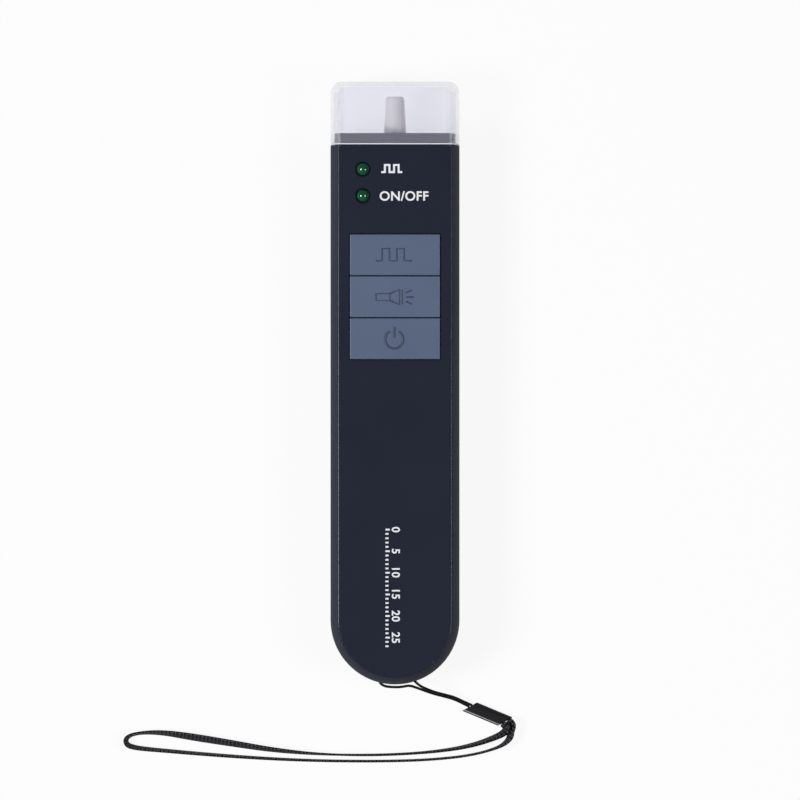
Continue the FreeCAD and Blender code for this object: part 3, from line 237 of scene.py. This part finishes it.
# WRIST STRAP, CLASP
# A strip of thin dark artificial leather, folded over the ends of the ribbon and of the thin
# cord, pressed flat and sewn along its cut edges, which lie open along one side.
CLASP_LENGTH = 0.0090
CLASP_SLANT = 0.0024
CLASP_WIDTH = 0.0030
CLASP_HEIGHT = 0.0022
CLASP_SKIN = 0.00045
CLASP_EDGE = 0.00008
CLASP_STEPS = 6
CLASP_MIDDLE = (0.0215, -0.0772)
CLASP_TURN = math.radians(-22.6)
SEAM_INSET = 0.00042
SEAM_WIDTH = 0.00020
UPPER_CUT_BACK = 0.0001  # how far the upper cut edge lies back from the lower one


def finished(name, mesh, *materials):
    """A new piece from a bmesh, smooth shaded, in its materials."""
    data = bpy.data.meshes.new(name)
    mesh.to_mesh(data)
    mesh.free()
    for material in materials:
        data.materials.append(material)
    for face in data.polygons:
        face.use_smooth = True
    return placed(name, data)


def grained(name, colour, lighter, roughness, grain, depth, **sockets):
    """Fine grain on object coordinates: tone, roughness and relief from two sizes of noise."""
    material, tree, shader = principled(name, roughness, **sockets)
    place = chain(tree, "TexCoord").outputs["Object"]
    fine = chain(tree, "TexNoise", sockets={"Vector": place, "Scale": grain, "Detail": 3.0})
    broad = chain(tree, "TexNoise", sockets={"Vector": place, "Scale": 70.0, "Detail": 2.0})
    two_tone(tree, shader, broad.outputs["Fac"], colour, lighter)
    spread = chain(tree, "MapRange", sockets={
        "Value": broad.outputs["Fac"], "To Min": roughness - 0.05, "To Max": roughness + 0.06})
    tree.links.new(spread.outputs[0], shader.inputs["Roughness"])
    bump(tree, shader, fine.outputs["Fac"], depth)
    return material


leather = grained("clasp_leather", (0.004, 0.004, 0.005, 1.0), (0.009, 0.009, 0.011, 1.0),
                  0.6, 3200.0, 0.00006, Specular_IOR_Level=0.25)
thread = grained("seam_thread", (0.30, 0.31, 0.34, 1.0), (0.42, 0.43, 0.46, 1.0),
                 0.8, 5000.0, 0.00004)
cut_edge = grained("clasp_cut_edge", (0.10, 0.10, 0.11, 1.0), (0.20, 0.20, 0.21, 1.0),
                   0.7, 5000.0, 0.00004)
low, high = CLASP_SKIN / 2, CLASP_HEIGHT - CLASP_SKIN / 2
middle, bow = (low + high) / 2, (high - low) / 2
seam = -CLASP_WIDTH / 2 + SEAM_INSET
outline = [(-CLASP_WIDTH / 2, low), (0.0, low), (CLASP_WIDTH / 2 - bow, low)]
outline += [(CLASP_WIDTH / 2 - bow + bow * math.sin(math.radians(angle)),
             middle - bow * math.cos(math.radians(angle))) for angle in (36, 72, 108, 144)]
outline += [(CLASP_WIDTH / 2 - bow, high), (0.0, high), (seam + SEAM_WIDTH / 2, high),
            (seam - SEAM_WIDTH / 2, high), (-CLASP_WIDTH / 2 + UPPER_CUT_BACK, high)]
fold = bmesh.new()
corners = [fold.verts.new((-CLASP_LENGTH / 2 + across * CLASP_SLANT / CLASP_WIDTH, across, up))
           for across, up in outline]
edges = [fold.edges.new(pair) for pair in zip(corners, corners[1:])]
for step in range(CLASP_STEPS):
    pulled = bmesh.ops.extrude_edge_only(fold, edges=edges)["geom"]
    moved = [item for item in pulled if isinstance(item, bmesh.types.BMVert)]
    edges = [item for item in pulled if isinstance(item, bmesh.types.BMEdge)
             and all(end in moved for end in item.verts)]
    bmesh.ops.translate(fold, verts=moved, vec=(CLASP_LENGTH / CLASP_STEPS, 0.0, 0.0))
bmesh.ops.recalc_face_normals(fold, faces=fold.faces)
for face in fold.faces:
    heart = face.calc_center_median()
    if heart.z > middle and abs(heart.y - seam) < SEAM_WIDTH / 4:
        face.material_index = 2
clasp = finished("clasp", fold, leather, cut_edge, thread)
wall = clasp.modifiers.new("skin", "SOLIDIFY")
wall.thickness = CLASP_SKIN
wall.offset = 0.0
wall.material_offset_rim = 1
rim = clasp.modifiers.new("edges", "BEVEL")
rim.width = CLASP_EDGE
rim.segments = 2
clasp.data.transform(
    Matrix.Translation((*CLASP_MIDDLE, 0.0)) @ Matrix.Rotation(CLASP_TURN, 4, "Z"))
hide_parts("strap_clasp")
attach(clasp, "root")

# CASE, TWO SHELLS AND BATTERY DOOR
# Injection-moulded ABS, near-black blue, with a fine spark-eroded texture. The shells meet in a
# lipped joint at mid height and are screwed together from the back; the door snaps into the back.
CASE_MIDDLE = 0.0090
FACE_HALF = 0.0131
TAIL_CENTRE = -0.05495
JOINT_FROM, JOINT_TO = 0.00006, 0.00016
SIDE_FADE = 0.0003
SIDE_DULLNESS = 0.56
CASE_RELIEF = 0.00012


def dress(material, *nodes):
    """Give CAD nodes their finish."""
    for node in nodes:
        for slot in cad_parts[node].material_slots:
            slot.material = material


case_plastic, case_tree, case_shader = principled(
    "case_plastic", 0.4, Specular_IOR_Level=0.35, IOR=1.35)
case_place = chain(case_tree, "TexCoord").outputs["Object"]
spark = chain(case_tree, "TexNoise", sockets={
    "Vector": case_place, "Scale": 4200.0, "Detail": 4.0})
flow = chain(case_tree, "TexNoise", sockets={
    "Vector": case_place, "Scale": 55.0, "Detail": 3.0})
case_axes = chain(case_tree, "SeparateXYZ", sockets={0: case_place}).outputs

# The joint: a fine dark line, sunk into the surface, all the way round at mid height.
from_joint = chain(case_tree, "Math", operation="SUBTRACT", sockets={
    0: case_axes["Z"], 1: CASE_MIDDLE})
off_joint = chain(case_tree, "Math", operation="ABSOLUTE", sockets={0: from_joint.outputs[0]})
joint = chain(case_tree, "MapRange", interpolation_type="SMOOTHSTEP", sockets={
    "Value": off_joint.outputs[0], "From Min": JOINT_FROM, "From Max": JOINT_TO})
tone = chain(case_tree, "Mix", data_type="RGBA", sockets={
    0: flow.outputs["Fac"], 6: (0.0172, 0.0208, 0.0358, 1.0), 7: (0.0222, 0.0260, 0.0430, 1.0)})
two_tone(case_tree, case_shader, joint.outputs[0], (0.002, 0.002, 0.003, 1.0), tone.outputs[2])

# The face is satin, and the sides are duller. Round the tail the distance is from its centre.
past_tail = chain(case_tree, "Math", operation="SUBTRACT", sockets={
    0: case_axes["Y"], 1: TAIL_CENTRE})
tailward = chain(case_tree, "Math", operation="MINIMUM", sockets={
    0: past_tail.outputs[0], 1: 0.0})
outward = chain(case_tree, "CombineXYZ", sockets={0: case_axes["X"], 1: tailward.outputs[0]})
off_axis = chain(case_tree, "VectorMath", operation="LENGTH", sockets={0: outward.outputs[0]})
matt_side = chain(case_tree, "MapRange", interpolation_type="SMOOTHSTEP", sockets={
    "Value": off_axis.outputs["Value"], "From Min": FACE_HALF, "From Max": FACE_HALF + SIDE_FADE,
    "To Min": 0.0, "To Max": SIDE_DULLNESS})
gloss = chain(case_tree, "MapRange", sockets={
    "Value": flow.outputs["Fac"], "To Min": 0.22, "To Max": 0.28})
roughness = chain(case_tree, "Math", operation="ADD", sockets={
    0: gloss.outputs[0], 1: matt_side.outputs[0]})
case_tree.links.new(roughness.outputs[0], case_shader.inputs["Roughness"])
relief = chain(case_tree, "Math", operation="MULTIPLY_ADD", sockets={
    0: spark.outputs["Fac"], 1: 0.10, 2: joint.outputs[0]})
bump(case_tree, case_shader, relief.outputs[0], CASE_RELIEF)
dress(case_plastic, "front_shell", "rear_shell", "battery_door")

# CAP
# A pull-off cap of frosted, slightly bluish polypropylene, hollow, that slides over the neck and
# keeps dust out of the port.
frosted, frosted_tree, frosted_shader = principled(
    "frosted_plastic", 0.26, Transmission_Weight=0.6, IOR=1.32, Alpha=0.28)
cap_place = chain(frosted_tree, "TexCoord").outputs["Object"]
cloud = chain(frosted_tree, "TexNoise", sockets={
    "Vector": cap_place, "Scale": 160.0, "Detail": 3.0})
pits = chain(frosted_tree, "TexNoise", sockets={
    "Vector": cap_place, "Scale": 3500.0, "Detail": 3.0})
two_tone(frosted_tree, frosted_shader, cloud.outputs["Fac"],
         (0.81, 0.83, 0.98, 1.0), (0.87, 0.88, 1.0, 1.0))
bump(frosted_tree, frosted_shader, pits.outputs["Fac"], 0.00001)
dress(frosted, "cap")

# CAP, LIP BEAD
# A solid bead round the cap's mouth, standing for the rim moulded there. It is thick enough to
# look white, as a painted highlight for the glint that the rim catches.
# It follows the outer edge of the mouth just inside the wall.
BEAD_WIDTH = 0.00028
BEAD_INSET = 0.990  # its line, as a share of the mouth's outline
MERGE_WITHIN = 0.000002
MOUTH_WITHIN = 0.00001
# Near white: a painted highlight for the glint along the cap's mouth.
painted_lip_highlight = grained("painted_lip_highlight_plastic", (0.90, 0.91, 0.96, 1.0), (0.96, 0.97, 1.0, 1.0),
                        0.25, 2600.0, 0.00001)
mouth = bmesh.new()
mouth.from_mesh(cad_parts["cap"].data)
bmesh.ops.remove_doubles(mouth, verts=mouth.verts, dist=MERGE_WITHIN)
mouth_y = min(corner.co.y for corner in mouth.verts)
bmesh.ops.delete(mouth, context="VERTS", geom=[
    corner for corner in mouth.verts if corner.co.y > mouth_y + MOUTH_WITHIN])
corner = max(mouth.verts, key=lambda corner: corner.co.x)
lip = []
while corner not in lip:
    lip.append(corner)
    ahead = [edge.other_vert(corner) for edge in corner.link_edges if edge.is_boundary]
    corner = next((other for other in ahead if other not in lip), lip[0])
bead_curve = bpy.data.curves.new("cap_lip_bead", "CURVE")
bead_curve.dimensions = "3D"
bead_curve.bevel_depth = BEAD_WIDTH / 2
bead_curve.bevel_resolution = 2
spline = bead_curve.splines.new("POLY")
spline.points.add(len(lip) - 1)
for point, corner in zip(spline.points, lip):
    point.co = (corner.co.x * BEAD_INSET, mouth_y + BEAD_WIDTH,
                CASE_MIDDLE + (corner.co.z - CASE_MIDDLE) * BEAD_INSET, 1.0)
spline.use_cyclic_u = True
mouth.free()
bead_curve.materials.append(painted_lip_highlight)
bead = placed("cap_lip_bead", bead_curve)
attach(bead, "cap_body")

# KEYS
# Three hollow keys of slate-coloured ABS, side by side in one window. Each carries a raised mark:
# a pulse, a torch and the sign for power.
# The marks are in a darker tone of the key's colour, which is painted shade for the shading along
# their raised lines.
KEY_TOP = 0.0184
MARK_SUNK = 0.10  # how far a mark's middle line lies below the key's top, as a share of its width
RING_MIDDLE, RING_RADIUS = -0.2, 2.1  # of the sign for power, in millimetres
key_plastic = grained("key_plastic", (0.094, 0.132, 0.214, 1.0), (0.106, 0.146, 0.235, 1.0),
                      0.42, 3800.0, 0.00002, Specular_IOR_Level=0.4)
dress(key_plastic, "pulse_key", "torch_key", "power_key")
# A darker tone of the key's colour: painted shade along the marks' lines.
mark_painted_shade = grained("key_mark_painted_shade", (0.046, 0.066, 0.118, 1.0), (0.056, 0.078, 0.136, 1.0),
                       0.55, 3800.0, 0.00001)


def raised_mark(name, key, body, thick, runs):
    """Half-round beads on a key, one along each run of points in millimetres from its middle.

    A run that ends on its first point is closed."""
    low_corner, high_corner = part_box(key)
    x, y = (low_corner[0] + high_corner[0]) / 2, (low_corner[1] + high_corner[1]) / 2
    curve = bpy.data.curves.new(name, "CURVE")
    curve.dimensions = "3D"
    curve.bevel_depth = thick / 2
    curve.bevel_resolution = 3
    curve.use_fill_caps = True
    for run in runs:
        closed = run[0] == run[-1]
        points = run[:-1] if closed else run
        spline = curve.splines.new("POLY")
        spline.points.add(len(points) - 1)
        for point, (across, up) in zip(spline.points, points):
            point.co = (x + across / 1000, y + up / 1000, KEY_TOP - thick * MARK_SUNK, 1.0)
        spline.use_cyclic_u = closed
    curve.materials.append(mark_painted_shade)
    piece = placed(name, curve)
    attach(piece, body)


raised_mark("pulse_mark", "pulse_key", "pulse_key_body", 0.00048, [
    [(-4.4, -1.4), (-3.0, -1.4), (-3.0, 1.4), (-1.3, 1.4), (-1.3, -1.4), (0.4, -1.4),
     (0.4, 1.4), (2.1, 1.4), (2.1, -1.4), (3.8, -1.4)]])
raised_mark("torch_mark", "torch_key", "torch_key_body", 0.00042, [
    [(-4.4, -0.9), (-4.4, 0.7), (-1.2, 0.7), (-1.2, -0.9), (-4.4, -0.9)],
    [(-1.2, 0.7), (1.0, 1.6), (1.0, -1.8), (-1.2, -0.9)],
    [(1.6, 1.6), (1.6, -1.8)],
    [(2.5, 0.9), (3.8, 1.5)],
    [(2.6, -0.1), (4.2, -0.1)],
    [(2.5, -1.1), (3.8, -1.7)]])
ring = [(RING_MIDDLE + RING_RADIUS * math.sin(math.radians(angle)),
         RING_MIDDLE + RING_RADIUS * math.cos(math.radians(angle)))
        for angle in range(30, 331, 10)]
raised_mark("power_mark", "power_key", "power_key_body", 0.00056, [
    ring, [(RING_MIDDLE, 0.2), (RING_MIDDLE, 2.7)]])

# KEY PLUNGERS AND SWITCHES
# Black nylon plungers that pass each key's push to a square tactile switch. The switches are
# soldered to the board.
switch_plastic = grained("switch_plastic", (0.010, 0.010, 0.011, 1.0), (0.016, 0.016, 0.018, 1.0),
                         0.5, 2500.0, 0.00002)
dress(switch_plastic, "pulse_plunger", "torch_plunger", "power_plunger",
      "pulse_switch", "torch_switch", "power_switch")

# INDICATOR LAMPS
# Two round 3 mm lamps, cast in green-tinted clear epoxy. They stand on leads over the board
# and show through close holes in the face.
lamp_epoxy, lamp_tree, lamp_shader = principled(
    "lamp_epoxy", 0.06, Transmission_Weight=0.35, IOR=1.5, Coat_Weight=0.6, Coat_Roughness=0.03)
lamp_place = chain(lamp_tree, "TexCoord").outputs["Object"]
lamp_noise = chain(lamp_tree, "TexNoise", sockets={
    "Vector": lamp_place, "Scale": 900.0, "Detail": 2.0})
two_tone(lamp_tree, lamp_shader, lamp_noise.outputs["Fac"],
         (0.006, 0.085, 0.040, 1.0), (0.020, 0.190, 0.085, 1.0))
dress(lamp_epoxy, "upper_lamp", "lower_lamp")

# LASER BARREL
# A turned brass module in the middle of the case, which lights the port. Ribs of both shells
# hold it.
brass = grained("turned_brass", (0.50, 0.36, 0.14, 1.0), (0.60, 0.45, 0.20, 1.0),
                0.30, 1800.0, 0.000015, Metallic=1.0)
dress(brass, "laser_barrel")

# PORT GUARD AND SLEEVE
# A pale moulded guard with a flange behind the end wall, round a ceramic sleeve that takes a
# connector's ferrule.
guard_plastic = grained("guard_plastic", (1.0, 0.87, 0.89, 1.0), (1.0, 0.91, 0.92, 1.0),
                        0.38, 2600.0, 0.00002, Subsurface_Weight=0.7, Subsurface_Scale=0.002,
                        Subsurface_Radius=(1.0, 1.0, 1.0))
dress(guard_plastic, "port_guard")
ceramic = grained("sleeve_ceramic", (0.82, 0.81, 0.77, 1.0), (0.88, 0.87, 0.84, 1.0),
                  0.20, 4000.0, 0.00001)
dress(ceramic, "ferrule_sleeve")

# TORCH LAMP
# A 5 mm lamp, cast in clear epoxy, that shines out of the neck beside the port. Its flange lies
# behind the end wall.
clear, clear_tree, clear_shader = principled(
    "torch_epoxy", 0.05, Transmission_Weight=0.95, IOR=1.5)
clear_place = chain(clear_tree, "TexCoord").outputs["Object"]
haze = chain(clear_tree, "TexNoise", sockets={"Vector": clear_place, "Scale": 600.0})
two_tone(clear_tree, clear_shader, haze.outputs["Fac"],
         (0.90, 0.92, 0.93, 1.0), (0.97, 0.98, 0.98, 1.0))
dress(clear, "torch_lamp")

# CIRCUIT BOARD AND DRIVER CHIP
# Glass-epoxy board under green solder mask, screwed to the front shell, with the driver chip
# soldered below it.
mask, mask_tree, mask_shader = principled("solder_mask", 0.28, Specular_IOR_Level=0.5)
mask_place = chain(mask_tree, "TexCoord").outputs["Object"]
traces = chain(mask_tree, "TexBrick", sockets={
    "Vector": mask_place, "Scale": 300.0, "Mortar Size": 0.08,
    "Color1": (0.012, 0.085, 0.035, 1.0), "Color2": (0.016, 0.100, 0.042, 1.0),
    "Mortar": (0.035, 0.170, 0.070, 1.0)})
mask_tree.links.new(traces.outputs["Color"], mask_shader.inputs["Base Color"])
bump(mask_tree, mask_shader, traces.outputs["Fac"], 0.00003)
dress(mask, "circuit_board")
dress(switch_plastic, "driver_chip")

# CELLS
# Two small round cells, laid opposite ways: a steel can in a shrunk plastic sleeve, plain dark,
# with a bare pale band at its positive end.
CELL_BAND, BAND_EDGE = 0.0024, 0.0002
pair_low, pair_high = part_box("right_cell")[0][1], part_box("left_cell")[1][1]
band_from = (pair_high - pair_low) / 2 - CELL_BAND
can, can_tree, can_shader = principled("cell_sleeve", 0.30, Coat_Weight=0.3)
can_place = chain(can_tree, "TexCoord").outputs["Object"]
can_y = chain(can_tree, "SeparateXYZ", sockets={0: can_place}).outputs["Y"]
from_middle = chain(can_tree, "Math", operation="SUBTRACT", sockets={
    0: can_y, 1: (pair_low + pair_high) / 2})
off_middle = chain(can_tree, "Math", operation="ABSOLUTE", sockets={0: from_middle.outputs[0]})
band = chain(can_tree, "MapRange", interpolation_type="SMOOTHSTEP", sockets={
    "Value": off_middle.outputs[0], "From Min": band_from, "From Max": band_from + BAND_EDGE})
two_tone(can_tree, can_shader, band.outputs[0], (0.035, 0.042, 0.060, 1.0),
         (0.42, 0.43, 0.45, 1.0))
scuff = chain(can_tree, "TexNoise", sockets={
    "Vector": can_place, "Scale": 900.0, "Detail": 3.0})
bump(can_tree, can_shader, scuff.outputs["Fac"], 0.00001)
dress(can, "left_cell", "right_cell")

# CONTACTS, SPRINGS AND SCREWS
# Nickel-plated spring strip and wire that hold the cells, and zinc-plated screws with crossed
# recesses that close the case from the back and hold the board.
nickel = grained("nickel_plate", (0.58, 0.57, 0.54, 1.0), (0.66, 0.65, 0.62, 1.0),
                 0.26, 1500.0, 0.000015, Metallic=1.0)
dress(nickel, "left_contact", "right_contact", "tail_contact", "left_spring", "right_spring")
zinc = grained("screw_zinc", (0.20, 0.20, 0.21, 1.0), (0.28, 0.28, 0.29, 1.0),
               0.34, 2200.0, 0.00002, Metallic=1.0)
dress(zinc, "case_screws", "board_screws")

# PRINT
# White ink, pad-printed on the face: a plain sign beside each lamp, and a plain numbered scale
# along the lower half.
FACE = 0.0180
INK_RISE = 0.00002
CAPITALS = 0.70  # height of the capitals, as a share of the letters' size
BOLDNESS = 0.03  # how far strokes are widened, as a share of the height
SPACING = 1.06
PULSE_LEFT, PULSE_MIDDLE = -0.0034, 0.0498
PULSE_HEIGHT, PULSE_STEP, PULSE_STROKE = 0.0021, 0.00106, 0.00046
WORD_HEIGHT, WORD_MIDDLE = 0.0021, (0.0021, 0.04345)
SCALE_TOP, SCALE_LEFT, SCALE_MARKS = -0.0338, -0.0022, 28
LONG_MARK, SHORT_MARK, MARK_STROKE = 0.0010, 0.0007, 0.00040
NUMBER_HEIGHT, NUMBER_ASIDE, NUMBERS = 0.0018, 0.0024, 6
ink = grained("white_ink", (0.84, 0.87, 0.92, 1.0), (0.92, 0.94, 0.97, 1.0), 0.5, 3000.0, 0.00001)


def bar(mesh, x, y, wide, high):
    """A printed bar, by its middle and its size."""
    made = bmesh.ops.create_grid(mesh, x_segments=1, y_segments=1, size=0.5)["verts"]
    bmesh.ops.scale(mesh, verts=made, vec=(wide, high, 1.0))
    bmesh.ops.translate(mesh, verts=made, vec=(x, y, FACE + INK_RISE))


def lettered(name, words, height, place, turned=0.0):
    """Printed signs as flat mesh, by the middle of their box."""
    curve = bpy.data.curves.new(name, "FONT")
    curve.body = words
    curve.size = height / CAPITALS
    curve.offset = height * BOLDNESS
    curve.space_character = SPACING
    text = bpy.data.objects.new(name, curve)
    data = bpy.data.meshes.new_from_object(text)
    data.name = name
    corners = [vertex.co for vertex in data.vertices]
    middle_x = (min(c.x for c in corners) + max(c.x for c in corners)) / 2
    middle_y = (min(c.y for c in corners) + max(c.y for c in corners)) / 2
    data.transform(Matrix.Translation((*place, FACE + INK_RISE)) @ Matrix.Rotation(turned, 4, "Z")
                   @ Matrix.Translation((-middle_x, -middle_y, 0.0)))
    data.materials.clear()
    data.materials.append(ink)
    piece = placed(name, data)
    bpy.data.objects.remove(text)
    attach(piece, "root")


pulse_sign = bmesh.new()
for step in range(5):
    side = 1 if step % 2 else -1
    bar(pulse_sign, PULSE_LEFT + PULSE_STEP * (step + 0.5),
        PULSE_MIDDLE + side * (PULSE_HEIGHT - PULSE_STROKE) / 2,
        PULSE_STEP - PULSE_STROKE, PULSE_STROKE)
for step in range(1, 5):
    bar(pulse_sign, PULSE_LEFT + PULSE_STEP * step, PULSE_MIDDLE, PULSE_STROKE, PULSE_HEIGHT)
pulse_print = finished("pulse_print", pulse_sign, ink)
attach(pulse_print, "root")
lettered("power_print", "ON/OFF", WORD_HEIGHT, WORD_MIDDLE)

scale_print = bmesh.new()
for millimetre in range(SCALE_MARKS):
    reach = SHORT_MARK if millimetre % 5 else LONG_MARK
    bar(scale_print, SCALE_LEFT + reach / 2, SCALE_TOP - millimetre * 0.001, reach, MARK_STROKE)
scale_piece = finished("scale_print", scale_print, ink)
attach(scale_piece, "root")
for number in range(NUMBERS):
    lettered("scale_number_%d" % number, str(number * 5), NUMBER_HEIGHT,
             (SCALE_LEFT + NUMBER_ASIDE, SCALE_TOP - number * 0.005), turned=-math.pi / 2)

# FLOOR, BACKGROUND AND LIGHT
# A white table just under the device, a pale studio with a dim ceiling, and two small
# softboxes, one to each side.
TABLE_HALF, TABLE_HEIGHT = 3.0, -0.0001
TABLE_GLOW = 0.91  # share of plain white in what the eye sees of the table
LIGHTS = {
    "key_light": ((-0.76, -0.12, 0.94), 0.34, 12.0),
    "fill_light": ((0.76, -0.14, 0.94), 0.34, 5.0),
}  # place, size of the square in metres, and power in watts


def white_to_eye(tree):
    """1 for rays from the camera, and for those seen in gloss or through clear plastic."""
    path = chain(tree, "LightPath")
    first = chain(tree, "Math", operation="MAXIMUM", sockets={
        0: path.outputs["Is Camera Ray"], 1: path.outputs["Is Glossy Ray"]})
    both = chain(tree, "Math", operation="MAXIMUM", sockets={
        0: first.outputs[0], 1: path.outputs["Is Transmission Ray"]})
    return both.outputs[0]


floor_mesh = bmesh.new()
bmesh.ops.create_grid(floor_mesh, x_segments=1, y_segments=1, size=TABLE_HALF)
bmesh.ops.translate(floor_mesh, verts=floor_mesh.verts, vec=(0.0, 0.0, TABLE_HEIGHT))
table, table_tree, table_shader = principled("white_table", 0.9, Specular_IOR_Level=0.0)
table_shader.inputs["Base Color"].default_value = (0.82, 0.82, 0.82, 1.0)
glow = chain(table_tree, "Emission", sockets={"Color": (1.0, 1.0, 1.0, 1.0), "Strength": 1.0})
share = chain(table_tree, "Math", operation="MULTIPLY", sockets={
    0: white_to_eye(table_tree), 1: TABLE_GLOW})
table_mix = chain(table_tree, "MixShader", sockets={
    0: share.outputs[0], 1: table_shader.outputs[0], 2: glow.outputs[0]})
table_tree.links.new(table_mix.outputs[0], table_tree.nodes["Material Output"].inputs["Surface"])
floor = finished("floor", floor_mesh, table)

world = bpy.data.worlds.new("studio")
bpy.context.scene.world = world
world.use_nodes = True
world_tree = world.node_tree
sky = world_tree.nodes["Background"]
direction = chain(world_tree, "TexCoord").outputs["Generated"]
upward = chain(world_tree, "SeparateXYZ", sockets={0: direction}).outputs["Z"]
ceiling = chain(world_tree, "MapRange", sockets={
    "Value": upward, "From Min": 0.35, "From Max": 0.8, "To Min": 1.0, "To Max": 0.22})
lighting = chain(world_tree, "MapRange", sockets={
    "Value": upward, "From Min": 0.2, "From Max": 0.9, "To Min": 0.55, "To Max": 0.30})
seen = chain(world_tree, "Mix", data_type="FLOAT", sockets={
    0: white_to_eye(world_tree), 2: lighting.outputs[0], 3: ceiling.outputs[0]})
world_tree.links.new(seen.outputs[0], sky.inputs["Strength"])

for name, (place, size, power) in LIGHTS.items():
    lamp_data = bpy.data.lights.new(name, "AREA")
    lamp_data.shape = "SQUARE"
    lamp_data.size = size
    lamp_data.energy = power
    lamp = placed(name, lamp_data)
    lamp.location = place
    lamp.rotation_euler = (-Vector(place)).to_track_quat("-Z", "Y").to_euler()

bpy.context.scene.view_settings.view_transform = "Standard"

bpy.context.view_layer.update()
